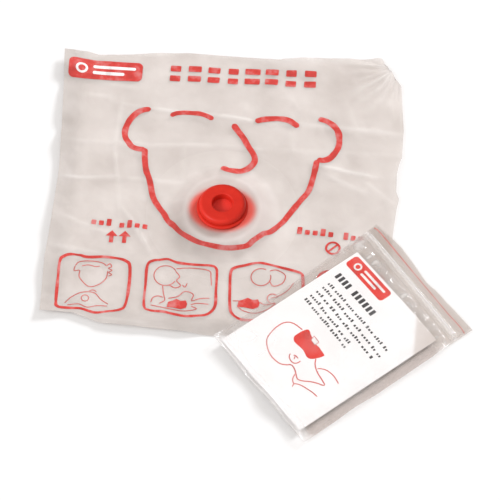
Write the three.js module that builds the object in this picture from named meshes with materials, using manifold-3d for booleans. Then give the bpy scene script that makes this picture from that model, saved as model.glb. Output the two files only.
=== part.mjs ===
// Resuscitation face shield with a one-way valve, and the press-seal pouch and leaflet that go with it.
//
// Frame, in millimetres: the origin is on the valve's axis, on the plane the shield rests on.
// +X runs to the shield's right, +Y towards its forehead edge, +Z up, out of the rescuer's side.
//
// The shield is one thin film with two creases between the valve and the forehead edge, so it is
// three panels here. Round the valve the film rises in a low cone and is held between an oval flange
// below and a ring and mouthpiece above. A loose disc in the valve closes against a seat in the
// mouthpiece, and drops onto a cross-shaped cage when air is blown down through it.
// The pouch lies across the shield's lower right corner, with a folded leaflet in it.

import * as THREE from 'three';
import { mergeVertices } from 'three/addons/utils/BufferGeometryUtils.js';
import Module from 'manifold-3d';

// ---------------------------------------------------------------- driving dimensions
// In names: R radius, W width, L length, T thickness; X0/X1, Y0/Y1, Z0/Z1 and R0/R1 are the low
// and high ends of a range.

// Shield film
const SHEET_X0 = -106;
const SHEET_X1 = 107;
const SHEET_Y0 = -87;                     // chin edge
const SHEET_Y1 = 118;                     // forehead edge
const FILM_T = 0.3;
const CREASE_1 = 58;                      // Y of the crease between the valve and brow panels
const CREASE_2 = 92.5;                    // Y of the crease between the brow and top panels
const CREASE_GAP = 0.15;                  // each panel stops this far short of a crease
const FILM_HOLE_R = 9.2;                  // hole round the mouthpiece's spigot
const FILM_SEAT_R = 22;                   // the film is flat round the valve out to here
const CONE_R = 38;                        // and is down on the resting plane from here outwards
const CONE_STEPS = 64;

// Valve, below the film
const TUBE_R = 10;
const TUBE_BORE_R = 8.3;
const TUBE_CHAMFER = 0.5;
const TUBE_SINK = 0.3;                    // the tube ends this far below the flange's top
const FLANGE_HALF_X = 20.5;
const FLANGE_HALF_Y = 15.5;
const FLANGE_Z0 = 4.6;
const FLANGE_Z1 = 6.6;
const FLANGE_CHAMFER = 0.45;

// Heights where the film is held, from the flange up
const HOLD_GAP = 0.15;                    // between flange and patch, and between film and clamp
const SEAL_T = 0.2;
const SEAL_FILM_GAP = 0.2;
const SEAL_Z0 = FLANGE_Z1 + HOLD_GAP;
const SEAL_Z1 = SEAL_Z0 + SEAL_T;
const FILM_SEAT_Z = SEAL_Z1 + SEAL_FILM_GAP;            // underside of the film round the valve
const CLAMP_Z0 = FILM_SEAT_Z + FILM_T + HOLD_GAP;       // also the underside of the collar

// Valve, inner pieces
const CAGE_R = 8;
const CAGE_RING_W = 1.2;
const CAGE_BAR_W = 1.3;
const CAGE_HUB_R = 2;
const CAGE_Z1 = 5.6;
const FLAP_R = 7.6;
const FLAP_T = 0.5;
const FLAP_Z0 = 7.9;

// Valve, above the film
const CLAMP_R0 = 12;
const CLAMP_R1 = 15.75;
const CLAMP_Z1 = 9.4;
const CLAMP_LOW_CHAMFER = 0.3;
const CLAMP_TOP_CHAMFER = 0.5;
const SPIGOT_R = 8.9;
const SPIGOT_Z0 = 6.9;
const COLLAR_R = 11.6;
const DISC_R = 14.25;
const DISC_Z0 = 9.7;
const DISC_Z1 = 14;
const DISC_CHAMFER = 0.4;                 // lower edge
const DISC_ROUND = 1.1;                   // upper edge
const MOUTH_BORE_R = 6.25;
const MOUTH_ROUND = 0.6;                  // upper edge of the bore
const CHAMBER_R = 8;
const CHAMBER_Z1 = 9.2;
const SEAT_Z = 8.7;
const SEAT_W = 0.7;
const SEAT_ROOT_W = 0.9;                  // the seat widens to this at the chamber's ceiling

// Pouch: its own frame has x across the width, y from the bottom fold to the lip, and z up.
// Its back film is underneath and its front film on top.
const POUCH_X = 28.6;                     // middle of the bottom fold, in the shield's frame
const POUCH_Y = -121;
const POUCH_TURN = -49;                   // degrees about +Z
const POUCH_W = 92;
const POUCH_HALF_W = POUCH_W / 2;
const POUCH_L = 128;
const POUCH_Z0 = 0.6;
const POUCH_T = 0.2;                      // thickness of each film
const WELD_W = 2;
const WELD_Z = 0.95;                      // underside of the front film along the welds
const CROWN_Z = 7.4;                      // and over the bulge
const SHOULDER_X = 41.5;                  // the crown spans this far either side of the middle
const SHOULDER_Y = 6;                     // and runs from here
const NOSE_Y = 101;                       // to here, then slopes down
const ZIP_FLAT_Y = 112;                   // and is flat from here to the lip
const ZIP_FLAT_Z = 2.7;
const MOUTH_FOLD_Y = 66;                  // the front film bends here when the pouch opens
const LIP_Y = 122;                        // the front lip bends here

// Press seal
const ZIP_Y0 = 114;
const ZIP_Y1 = 121;
const ZIP_MID_Y = (ZIP_Y0 + ZIP_Y1) / 2;
const ZIP_L = 90;
const STRIP_T = 0.3;
const STRIP_GAP = 0.1;                    // between a strip and the film that carries it
const RIB_W = 0.8;
const RIB_TOP_Z = 2;
const RAIL_W = 0.7;
const RAIL_OFFSET = 0.8;                  // from the seal's middle to a rail's near side
const RAIL_Z = 1.4;                       // bottom of the rails
const LINE_Y0 = 124;                      // coloured bead along the front lip
const LINE_Y1 = 125;

// Leaflet: a sheet folded once, so two leaves joined along the pouch's -x side
const LEAF_HALF_W = 39;
const LEAF_MID_X = 1.5;
const LEAF_Y0 = 4.5;
const LEAF_Y1 = 106;
const LEAF_T = 0.3;
const LEAF_GAP = 0.3;
const LEAF_FOLD_W = 0.6;
const LEAF_FOLD_GAP = 0.1;                // between the fold and the front leaf
const LEAF_BACK_Z0 = 2.6;
const LEAF_BACK_Z1 = LEAF_BACK_Z0 + LEAF_T;
const LEAF_FRONT_Z0 = LEAF_BACK_Z1 + LEAF_GAP;
const LEAF_FRONT_Z1 = LEAF_FRONT_Z0 + LEAF_T;

// ---------------------------------------------------------------- materials
const matte = (settings) => new THREE.MeshStandardMaterial({ metalness: 0, ...settings });
const clearSheet = (settings) => matte({ transparent: true, side: THREE.DoubleSide, ...settings });

const filmMaterial = clearSheet({ color: 0xded6d0, roughness: 0.45, opacity: 0.6 });
const redMaterial = matte({ color: 0xd9352b, roughness: 0.35 });
const flapMaterial = matte({ color: 0xcf2f2a, roughness: 0.5 });
const sealMaterial = matte({ color: 0xf0e6e2, roughness: 0.5 });
const pouchMaterial = clearSheet({ color: 0xe2ddda, roughness: 0.2, opacity: 0.35 });
const zipMaterial = matte({ color: 0xefeceb, roughness: 0.25, transparent: true, opacity: 0.7 });
const paperMaterial = matte({ color: 0xfafafa, roughness: 0.75 });

// ---------------------------------------------------------------- manifold-3d helpers
const wasm = await Module();
wasm.setup();

function toSolid(geometry) {
  // Normals and UVs differ across seams and would keep their vertices from merging.
  geometry.deleteAttribute('normal');
  geometry.deleteAttribute('uv');
  const merged = mergeVertices(geometry, 1e-4);
  return new wasm.Manifold(new wasm.Mesh({
    numProp: 3,
    vertProperties: new Float32Array(merged.getAttribute('position').array),
    triVerts: new Uint32Array(merged.index.array),
  }));
}

// A geometry from position (x, y, z runs) and index lists.
function indexed(positions, indices) {
  const geometry = new THREE.BufferGeometry();
  geometry.setAttribute('position', new THREE.Float32BufferAttribute(positions, 3));
  geometry.setIndex(new THREE.Uint32BufferAttribute(indices, 1));
  geometry.computeVertexNormals();
  return geometry;
}

function toGeometry(solid) {
  const mesh = solid.getMesh();
  return indexed(mesh.vertProperties, mesh.triVerts);
}

// ---------------------------------------------------------------- shape helpers
// A turned piece about +Z from [radius, z] pairs that run round the section anticlockwise.
function turned(pairs, segments) {
  const geometry = new THREE.LatheGeometry(pairs.map((pair) => new THREE.Vector2(...pair)), segments);
  return geometry.rotateX(Math.PI / 2);
}

const turnedDisc = (radius, z0, z1, segments) =>
  turned([[0, z0], [radius, z0], [radius, z1], [0, z1]], segments);

const turnedRing = (r0, r1, z0, z1, segments) =>
  turned([[r0, z0], [r1, z0], [r1, z1], [r0, z1], [r0, z0]], segments);

// Section points of a quarter round, anticlockwise from startDegrees.
function quarterRound(centreR, centreZ, radius, startDegrees, steps) {
  return Array.from({ length: steps + 1 }, (_, i) => {
    const angle = THREE.MathUtils.degToRad(startDegrees + 90 * i / steps);
    return [centreR + radius * Math.cos(angle), centreZ + radius * Math.sin(angle)];
  });
}

function block([x0, x1], [y0, y1], [z0, z1]) {
  const geometry = new THREE.BoxGeometry(x1 - x0, y1 - y0, z1 - z0);
  return geometry.translate((x0 + x1) / 2, (y0 + y1) / 2, (z0 + z1) / 2);
}

// A flat section run along +Z from z = 0.
function extruded(pairs, depth) {
  const shape = new THREE.Shape(pairs.map((pair) => new THREE.Vector2(...pair)));
  return new THREE.ExtrudeGeometry(shape, { depth, bevelEnabled: false, steps: 1 });
}

// A closed thin sheet over equal rows of underside points. From above, the way from row to row
// turns anticlockwise into the way along a row. isLoop joins each row's last point to its first.
function thickSheet(rows, thickness, isLoop = false) {
  const rowLength = rows[0].length;
  const underside = rows.flat();
  const positions = [0, thickness].flatMap(
    (lift) => underside.flatMap(([x, y, z]) => [x, y, z + lift]));

  const low = (row, i) => row * rowLength + i % rowLength;
  const high = (row, i) => underside.length + low(row, i);
  const indices = [];
  const quad = (a, b, c, d) => indices.push(a, b, c, a, c, d);

  const lastRow = rows.length - 1;
  const end = rowLength - 1;
  const spans = isLoop ? rowLength : end;
  for (let row = 0; row < lastRow; row++) {
    for (let i = 0; i < spans; i++) {
      quad(high(row, i), high(row + 1, i), high(row + 1, i + 1), high(row, i + 1));
      quad(low(row, i), low(row, i + 1), low(row + 1, i + 1), low(row + 1, i));
    }
    if (!isLoop) {
      quad(low(row, 0), low(row + 1, 0), high(row + 1, 0), high(row, 0));
      quad(low(row + 1, end), low(row, end), high(row, end), high(row + 1, end));
    }
  }
  for (let i = 0; i < spans; i++) {
    quad(low(0, i + 1), low(0, i), high(0, i), high(0, i + 1));
    quad(low(lastRow, i), low(lastRow, i + 1), high(lastRow, i + 1), high(lastRow, i));
  }
  return indexed(positions, indices);
}

function add(parent, name, geometry, material) {
  const mesh = new THREE.Mesh(geometry, material);
  mesh.name = name;
  parent.add(mesh);
}

// ---------------------------------------------------------------- shield film
// The panel that carries the valve: a rectangle with a round hole, raised in a low cone round it.
function conedPanel() {
  const panelY1 = CREASE_1 - CREASE_GAP;
  const step = 2 * Math.PI / CONE_STEPS;
  const angles = Array.from({ length: CONE_STEPS }, (_, i) => i * step);
  // Each corner's exact angle takes the place of the nearest step.
  for (const x of [SHEET_X0, SHEET_X1]) {
    for (const y of [SHEET_Y0, panelY1]) {
      const angle = Math.atan2(y, x);
      angles[(Math.round(angle / step) + CONE_STEPS) % CONE_STEPS] = angle;
    }
  }
  const ring = (radiusAt, z) => angles.map(
    (angle) => [radiusAt(angle) * Math.cos(angle), radiusAt(angle) * Math.sin(angle), z]);
  const edgeRadius = (angle) => {
    const dx = Math.cos(angle);
    const dy = Math.sin(angle);
    return 1 / Math.max(dx / SHEET_X0, dx / SHEET_X1, dy / SHEET_Y0, dy / panelY1);
  };
  return thickSheet([
    ring(() => FILM_HOLE_R, FILM_SEAT_Z),
    ring(() => FILM_SEAT_R, FILM_SEAT_Z),
    ring(() => CONE_R, 0),
    ring(edgeRadius, 0),
  ], FILM_T, true);
}

const flatPanel = (y0, y1) => block([SHEET_X0, SHEET_X1], [y0, y1], [0, FILM_T]);

// ---------------------------------------------------------------- valve
// Oval flange under the film, and the tube that goes between the patient's lips.
function lipFlange() {
  const plate = turned([
    [0, FLANGE_Z0],
    [FLANGE_HALF_Y - FLANGE_CHAMFER, FLANGE_Z0],
    [FLANGE_HALF_Y, FLANGE_Z0 + FLANGE_CHAMFER],
    [FLANGE_HALF_Y, FLANGE_Z1 - FLANGE_CHAMFER],
    [FLANGE_HALF_Y - FLANGE_CHAMFER, FLANGE_Z1],
    [0, FLANGE_Z1],
  ], 64);
  plate.scale(FLANGE_HALF_X / FLANGE_HALF_Y, 1, 1);
  const tubeTop = FLANGE_Z1 - TUBE_SINK;
  const tube = turned([
    [0, 0], [TUBE_R - TUBE_CHAMFER, 0], [TUBE_R, TUBE_CHAMFER], [TUBE_R, tubeTop], [0, tubeTop],
  ], 64);
  const bore = turnedDisc(TUBE_BORE_R, -1, FLANGE_Z1 + 1, 64);
  return toGeometry(toSolid(plate).add(toSolid(tube)).subtract(toSolid(bore)));
}

// Cage in the patient's tube: a ring with a cross and a hub.
function flapCage() {
  const height = [0, CAGE_Z1];
  const reach = CAGE_R - CAGE_RING_W / 2;              // the bars end inside the ring's wall
  const barLength = [-reach, reach];
  const barWidth = [-CAGE_BAR_W / 2, CAGE_BAR_W / 2];
  const ring = toSolid(turnedRing(CAGE_R - CAGE_RING_W, CAGE_R, ...height, 48));
  const barX = toSolid(block(barLength, barWidth, height));
  const barY = toSolid(block(barWidth, barLength, height));
  const hub = toSolid(turnedDisc(CAGE_HUB_R, ...height, 32));
  return toGeometry(ring.add(barX).add(barY).add(hub));
}

// Ring that clamps the film from above.
function clampRing() {
  return turned([
    [CLAMP_R0, CLAMP_Z0],
    [CLAMP_R1 - CLAMP_LOW_CHAMFER, CLAMP_Z0], [CLAMP_R1, CLAMP_Z0 + CLAMP_LOW_CHAMFER],
    [CLAMP_R1, CLAMP_Z1 - CLAMP_TOP_CHAMFER], [CLAMP_R1 - CLAMP_TOP_CHAMFER, CLAMP_Z1],
    [CLAMP_R0, CLAMP_Z1],
    [CLAMP_R0, CLAMP_Z0],
  ], 64);
}

// Spigot through the film, collar, rounded disc, bore, and the flap's seat inside.
function mouthpiece() {
  return turned([
    [CHAMBER_R, SPIGOT_Z0], [SPIGOT_R, SPIGOT_Z0],
    [SPIGOT_R, CLAMP_Z0], [COLLAR_R, CLAMP_Z0],
    [COLLAR_R, DISC_Z0], [DISC_R - DISC_CHAMFER, DISC_Z0], [DISC_R, DISC_Z0 + DISC_CHAMFER],
    ...quarterRound(DISC_R - DISC_ROUND, DISC_Z1 - DISC_ROUND, DISC_ROUND, 0, 5),
    ...quarterRound(MOUTH_BORE_R + MOUTH_ROUND, DISC_Z1 - MOUTH_ROUND, MOUTH_ROUND, 90, 4),
    [MOUTH_BORE_R, SEAT_Z], [MOUTH_BORE_R + SEAT_W, SEAT_Z],
    [MOUTH_BORE_R + SEAT_ROOT_W, CHAMBER_Z1], [CHAMBER_R, CHAMBER_Z1],
    [CHAMBER_R, SPIGOT_Z0],
  ], 64);
}

// ---------------------------------------------------------------- pouch
// Height that goes evenly from z0 at start to z1 at end, and is level beyond them.
function ramp(value, start, end, z0, z1) {
  return THREE.MathUtils.lerp(z0, z1, THREE.MathUtils.clamp((value - start) / (end - start), 0, 1));
}

// Underside of the front film.
function frontZ(x, y) {
  if (y >= ZIP_FLAT_Y) return ZIP_FLAT_Z;
  const across = ramp(Math.abs(x), SHOULDER_X, POUCH_HALF_W - WELD_W, CROWN_Z, WELD_Z);
  const along = y <= NOSE_Y
    ? ramp(y, WELD_W, SHOULDER_Y, WELD_Z, CROWN_Z)
    : ramp(y, NOSE_Y, ZIP_FLAT_Y, CROWN_Z, ZIP_FLAT_Z);
  return Math.min(across, along);
}

// A part of the front film, over the given y stations.
function frontFilm(yStations) {
  const halfStations = [SHOULDER_X, POUCH_HALF_W - WELD_W, POUCH_HALF_W];
  const xStations = [...halfStations.map((x) => -x).reverse(), ...halfStations];
  return thickSheet(xStations.map((x) => yStations.map((y) => [x, y, frontZ(x, y)])), POUCH_T);
}

// A block over the pouch's full width.
const pouchBlock = (y0, y1, z0, thickness) =>
  block([-POUCH_HALF_W, POUCH_HALF_W], [y0, y1], [z0, z0 + thickness]);

// A press seal strip from its [y, z] section.
function zipStrip(section) {
  const toPouchAxes = new THREE.Matrix4().set(
    0, 0, 1, -ZIP_L / 2,
    1, 0, 0, 0,
    0, 1, 0, 0,
    0, 0, 0, 1);
  return extruded(section, ZIP_L).applyMatrix4(toPouchAxes);
}

// Strip on the back film, with a rib standing up from it.
function zipRibStrip() {
  const base = POUCH_Z0 + POUCH_T + STRIP_GAP;
  const top = base + STRIP_T;
  const ribY0 = ZIP_MID_Y - RIB_W / 2;
  const ribY1 = ZIP_MID_Y + RIB_W / 2;
  return zipStrip([
    [ZIP_Y0, base], [ZIP_Y1, base], [ZIP_Y1, top],
    [ribY1, top], [ribY1, RIB_TOP_Z], [ribY0, RIB_TOP_Z], [ribY0, top],
    [ZIP_Y0, top],
  ]);
}

// Strip under the front film, with two rails that hang down either side of the rib.
function zipChannelStrip() {
  const top = ZIP_FLAT_Z - STRIP_GAP;
  const base = top - STRIP_T;
  const rail = (y0) => [[y0, base], [y0, RAIL_Z], [y0 + RAIL_W, RAIL_Z], [y0 + RAIL_W, base]];
  return zipStrip([
    [ZIP_Y0, base],
    ...rail(ZIP_MID_Y - RAIL_OFFSET - RAIL_W),
    ...rail(ZIP_MID_Y + RAIL_OFFSET),
    [ZIP_Y1, base], [ZIP_Y1, top], [ZIP_Y0, top],
  ]);
}

// ---------------------------------------------------------------- leaflet
// The back leaf carries the fold along its -x edge.
function leafletBack() {
  const foldX = -LEAF_HALF_W + LEAF_FOLD_W;
  const leaf = extruded([
    [-LEAF_HALF_W, LEAF_BACK_Z0], [LEAF_HALF_W, LEAF_BACK_Z0], [LEAF_HALF_W, LEAF_BACK_Z1],
    [foldX, LEAF_BACK_Z1], [foldX, LEAF_FRONT_Z1], [-LEAF_HALF_W, LEAF_FRONT_Z1],
  ], LEAF_Y1 - LEAF_Y0);
  leaf.rotateX(Math.PI / 2);                           // the section stands up and runs along -y
  return leaf.translate(LEAF_MID_X, LEAF_Y1, 0);
}

function leafletFront() {
  const x0 = LEAF_MID_X - LEAF_HALF_W + LEAF_FOLD_W + LEAF_FOLD_GAP;
  const x1 = LEAF_MID_X + LEAF_HALF_W;
  return block([x0, x1], [LEAF_Y0, LEAF_Y1], [LEAF_FRONT_Z0, LEAF_FRONT_Z1]);
}

// ---------------------------------------------------------------- assembly
const model = new THREE.Group();
const brow = flatPanel(CREASE_1 + CREASE_GAP, CREASE_2 - CREASE_GAP);
add(model, 'film_valve_panel', conedPanel(), filmMaterial);
add(model, 'film_brow_panel', brow, filmMaterial);
add(model, 'film_top_panel', flatPanel(CREASE_2 + CREASE_GAP, SHEET_Y1), filmMaterial);

const flap = turnedDisc(FLAP_R, FLAP_Z0, FLAP_Z0 + FLAP_T, 48);
const sealRing = turnedRing(FILM_HOLE_R, FILM_SEAT_R, SEAL_Z0, SEAL_Z1, 64);
add(model, 'lip_flange', lipFlange(), redMaterial);
add(model, 'flap_cage', flapCage(), redMaterial);
add(model, 'valve_flap', flap, flapMaterial);
add(model, 'film_seal_ring', sealRing, sealMaterial);
add(model, 'clamp_ring', clampRing(), redMaterial);
add(model, 'mouthpiece', mouthpiece(), redMaterial);

const pouch = new THREE.Group();
pouch.position.set(POUCH_X, POUCH_Y, 0);
pouch.rotation.z = THREE.MathUtils.degToRad(POUCH_TURN);
model.add(pouch);

const lowerFront = frontFilm([0, WELD_W, SHOULDER_Y, MOUTH_FOLD_Y - CREASE_GAP]);
const mouthFront = frontFilm([MOUTH_FOLD_Y + CREASE_GAP, NOSE_Y, ZIP_FLAT_Y, LIP_Y - CREASE_GAP]);
const frontLip = pouchBlock(LIP_Y + CREASE_GAP, POUCH_L, ZIP_FLAT_Z, POUCH_T);
const colourLine = pouchBlock(LINE_Y0, LINE_Y1, ZIP_FLAT_Z + POUCH_T + STRIP_GAP, STRIP_T);
add(pouch, 'pouch_back_film', pouchBlock(0, POUCH_L, POUCH_Z0, POUCH_T), pouchMaterial);
add(pouch, 'pouch_front_film', lowerFront, pouchMaterial);
add(pouch, 'pouch_mouth_film', mouthFront, pouchMaterial);
add(pouch, 'pouch_front_lip', frontLip, pouchMaterial);
add(pouch, 'zip_rib_strip', zipRibStrip(), zipMaterial);
add(pouch, 'zip_channel_strip', zipChannelStrip(), zipMaterial);
add(pouch, 'zip_colour_line', colourLine, redMaterial);
add(pouch, 'leaflet_back_leaf', leafletBack(), paperMaterial);
add(pouch, 'leaflet_front_leaf', leafletFront(), paperMaterial);

export default model;
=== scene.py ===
"""A mouth-to-mouth face shield lying open on a table, with its zip pouch and leaflet.

The valve stands on the z axis and the table is just under z = 0. The printed film lies around
the valve, its forehead edge towards +y. The pouch lies over the film's corner at +x, -y; it is
built in its own frame (across, along, up), whose `along` runs from the bottom weld to the zip.
Lengths are in millimetres and become metres when a mesh is made.
"""
import math
from functools import partial

import bpy
import bmesh
import numpy as np
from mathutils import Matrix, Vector


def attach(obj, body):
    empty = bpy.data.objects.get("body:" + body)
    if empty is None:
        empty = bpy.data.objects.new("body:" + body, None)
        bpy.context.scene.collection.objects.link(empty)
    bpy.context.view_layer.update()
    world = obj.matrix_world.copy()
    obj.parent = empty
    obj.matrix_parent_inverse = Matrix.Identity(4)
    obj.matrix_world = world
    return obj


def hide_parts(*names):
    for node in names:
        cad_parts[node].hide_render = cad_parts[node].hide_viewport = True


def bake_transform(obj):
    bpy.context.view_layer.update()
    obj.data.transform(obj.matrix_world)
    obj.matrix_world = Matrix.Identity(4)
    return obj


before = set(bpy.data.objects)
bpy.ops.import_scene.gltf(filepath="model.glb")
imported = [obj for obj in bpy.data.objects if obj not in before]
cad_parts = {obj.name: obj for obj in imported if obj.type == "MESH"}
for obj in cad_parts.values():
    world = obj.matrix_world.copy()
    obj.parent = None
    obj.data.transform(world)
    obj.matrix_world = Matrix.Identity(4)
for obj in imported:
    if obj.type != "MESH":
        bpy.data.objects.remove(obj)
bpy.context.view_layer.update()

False  # nothing here is simulated

MM = 0.001

# Film sheet
HINGE_LOW, HINGE_HIGH = 58.0, 92.5  # y of the two folding lines
SPLIT = 75.0                        # y where the film is made as two pieces
FILM_WIDE, FILM_TALL = 213, 205
FILM_THICK = 0.10
FILM_SEAT = 7.3                     # height of the film on the valve's flange
SPIGOT_HOLE = 9.3                   # radius
INK_OFF = FILM_THICK / 2 + 0.05

# Pouch, in its own frame
POUCH_TURN = math.radians(-49.0)
ACROSS = np.array([math.cos(POUCH_TURN), math.sin(POUCH_TURN)])
ALONG = np.array([-math.sin(POUCH_TURN), math.cos(POUCH_TURN)])
POUCH_ORIGIN = np.array([28.6, -121.0])
POUCH_HALF, POUCH_LONG = 46.0, 128.0
POUCH_THICK = 0.09
FOLD = 66.0                         # where the front film folds open
ZIP_MID, LIP_START = 117.5, 122.0
MOUTH_HALF, LIP_HALF = 38.0, 30.0   # how far across the mouth and the lip open freely


# ------------------------------------------------------------------ numeric helpers
def table(text):
    """Rows of numbers: spaces between rows, commas between columns."""
    return np.array([[float(entry) for entry in row.split(",")] for row in text.split()])


def rise(start, end, at):
    """Smooth step from 0 at `start` to 1 at `end`."""
    share = np.clip((np.asarray(at, float) - start) / (end - start), 0.0, 1.0)
    return share * share * (3 - 2 * share)


def fall(start, end, at):
    return 1 - rise(start, end, at)


def bell(distance, width, power=2):
    return np.exp(-(np.abs(distance) / width) ** power)


def unit(values):
    return np.clip(values, 0, 1)


def cell_of(x, y):
    """The cell that holds a point, and the point's shares across and up that cell."""
    i, j = np.floor(x).astype(int), np.floor(y).astype(int)
    return i, j, x - i, y - j


def corners(grid, i, j):
    """Values at a cell's four corners. The grid repeats past its ends."""
    rows, columns = grid.shape
    i, i_next, j, j_next = i % columns, (i + 1) % columns, j % rows, (j + 1) % rows
    return grid[j, i], grid[j, i_next], grid[j_next, i], grid[j_next, i_next]


def bilinear(grid, i, j, right, up):
    low, low_right, high, high_right = corners(grid, i, j)
    return ((low * (1 - right) + low_right * right) * (1 - up)
            + (high * (1 - right) + high_right * right) * up)


def lattice(seed):
    return np.random.RandomState(seed).rand(97, 97)


def noise(x, y, cell, seed, turn=0.0):
    """Smooth value noise in 0..1 with features about `cell` mm across."""
    cos, sin = math.cos(turn), math.sin(turn)
    i, j, right, up = cell_of((cos * x + sin * y) / cell + 211.3,
                              (-sin * x + cos * y) / cell + 173.7)
    right, up = right * right * (3 - 2 * right), up * up * (3 - 2 * up)
    return bilinear(lattice(seed), i, j, right, up)


def facets(x, y, cell, seed, turn=0.0, stretch=1.0):
    """Piecewise flat noise in 0..1 with sharp creases, as in crumpled film."""
    warped_x = x + cell * 0.9 * (noise(x, y, cell * 1.9, seed + 2) - 0.5)
    warped_y = y + cell * 0.9 * (noise(x, y, cell * 1.9, seed + 3) - 0.5)
    cos, sin = math.cos(turn), math.sin(turn)
    i, j, right, up = cell_of((cos * warped_x + sin * warped_y) / (cell * stretch) + 131.2,
                              (-sin * warped_x + cos * warped_y) / cell + 117.9)
    low, low_right, high, high_right = corners(lattice(seed), i, j)
    falling = np.where(
        right + up < 1,
        low + right * (low_right - low) + up * (high - low),
        high_right + (1 - right) * (high - high_right) + (1 - up) * (low_right - high_right))
    rising = np.where(
        right > up,
        low + right * (low_right - low) + up * (high_right - low_right),
        low + up * (high - low) + right * (high_right - high))
    # each cell is creased along one of its two diagonals
    return np.where(corners(lattice(seed + 1), i, j)[0] > 0.5, falling, rising)


def blur(grid, sigma):
    """Gaussian blur; `sigma` is in grid steps."""
    reach = max(1, int(3 * sigma))
    weights = np.exp(-0.5 * (np.arange(-reach, reach + 1) / sigma) ** 2)
    weights /= weights.sum()
    for _ in range(2):
        # blurs down the columns and transposes, so two passes do both directions
        padded = np.pad(grid, [(reach, reach), (0, 0)], mode="edge")
        grid = sum(weight * padded[k:k + len(grid)] for k, weight in enumerate(weights)).T
    return grid


def segment_distance(x, y, start, end):
    """Distance to a segment, and how far along it the nearest point is (0..1)."""
    (start_x, start_y), (run_x, run_y) = start, end - start
    share = unit(((x - start_x) * run_x + (y - start_y) * run_y)
                 / (run_x * run_x + run_y * run_y))
    return np.hypot(x - start_x - share * run_x, y - start_y - share * run_y), share


class Field:
    """Values on a fine grid, read back anywhere by linear interpolation."""
    STEP = 0.5

    def __init__(self, x_low, x_high, y_low, y_high):
        self.x_low, self.y_low = x_low, y_low
        self.x, self.y = np.meshgrid(np.arange(x_low, x_high + 1e-6, self.STEP),
                                     np.arange(y_low, y_high + 1e-6, self.STEP))
        self.values = None

    def __call__(self, x, y):
        rows, columns = self.values.shape
        column = np.clip((np.asarray(x, float) - self.x_low) / self.STEP, 0, columns - 1.001)
        row = np.clip((np.asarray(y, float) - self.y_low) / self.STEP, 0, rows - 1.001)
        return bilinear(self.values, *cell_of(column, row))

    def normal(self, x, y, reach=0.6):
        slope_x = (self(x + reach, y) - self(x - reach, y)) / (2 * reach)
        slope_y = (self(x, y + reach) - self(x, y - reach)) / (2 * reach)
        normal = np.stack([-slope_x, -slope_y, np.ones_like(slope_x)], -1)
        return normal / np.linalg.norm(normal, axis=-1, keepdims=True)


def pouch_dir(vectors):
    """Turns directions from the pouch's frame to the world's."""
    flat = vectors[..., 0:1] * ACROSS + vectors[..., 1:2] * ALONG
    return np.concatenate([flat, vectors[..., 2:3]], -1)


def pouch_to_world(points):
    return pouch_dir(points) + np.append(POUCH_ORIGIN, 0.0)


# ------------------------------------------------------------------ materials
class Nodes:
    """Short ways to add and link the nodes of a shader tree."""

    def __init__(self, tree):
        self.tree = tree

    def feed(self, socket, value):
        """Links a socket, or sets its value; colours of three numbers get an alpha of 1."""
        if isinstance(value, bpy.types.NodeSocket):
            self.tree.links.new(value, socket)
        elif socket.type == "RGBA" and len(value) == 3:
            socket.default_value = (*value, 1)
        else:
            socket.default_value = value

    def node(self, kind, **settings):
        node = self.tree.nodes.new("ShaderNode" + kind)
        for key, value in settings.items():
            setattr(node, key, value)
        return node

    def add(self, kind, **inputs):
        """Adds a node with the named inputs (`_` for a space); returns its first output."""
        node = self.node(kind)
        for key, value in inputs.items():
            self.feed(node.inputs[key.replace("_", " ")], value)
        return node.outputs[0]

    def coords(self):
        """Object coordinates in millimetres."""
        return self.add("Mapping", Vector=self.node("TexCoord").outputs["Object"],
                        Scale=(1000.0,) * 3)

    def noise(self, place, scale, detail=3.0, rough=0.55, distortion=0.0):
        return self.add("TexNoise", Vector=place, Scale=scale, Detail=detail, Roughness=rough,
                        Distortion=distortion)

    def ramp(self, share, stops):
        node = self.node("ValToRGB")
        elements = node.color_ramp.elements
        while len(elements) < len(stops):
            elements.new(0.5)
        for element, (position, colour) in zip(elements, stops):
            element.position = position
            element.color = (*colour, 1)
        self.feed(node.inputs["Fac"], share)
        return node.outputs["Color"]

    def math(self, operation, first, second, clamp=False):
        node = self.node("Math", operation=operation, use_clamp=clamp)
        self.feed(node.inputs[0], first)
        self.feed(node.inputs[1], second)
        return node.outputs[0]

    def times(self, first, second, clamp=False):
        return self.math("MULTIPLY", first, second, clamp)

    def plus(self, first, second, clamp=False):
        return self.math("ADD", first, second, clamp)

    def mix_colour(self, share, first, second):
        node = self.node("Mix", data_type="RGBA")
        for k, value in ((0, share), (6, first), (7, second)):
            self.feed(node.inputs[k], value)
        return node.outputs[2]

    def mix_shader(self, share, first, second):
        node = self.node("MixShader")
        for k, value in enumerate((share, first, second)):
            self.feed(node.inputs[k], value)
        return node.outputs[0]

    def bump(self, height, strength, distance):
        return self.add("Bump", Height=height, Strength=strength, Distance=distance)

    def attribute(self, name):
        return self.node("Attribute", attribute_name=name).outputs["Fac"]

    def shadow_ray(self):
        return self.node("LightPath").outputs["Is Shadow Ray"]


class Material(Nodes):
    def __init__(self, name):
        self.material = bpy.data.materials.new(name)
        self.material.use_nodes = True
        super().__init__(self.material.node_tree)
        self.tree.nodes.clear()
        self.output = self.node("OutputMaterial")

    def done(self, shader):
        self.feed(self.output.inputs["Surface"], shader)
        return self.material


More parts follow.
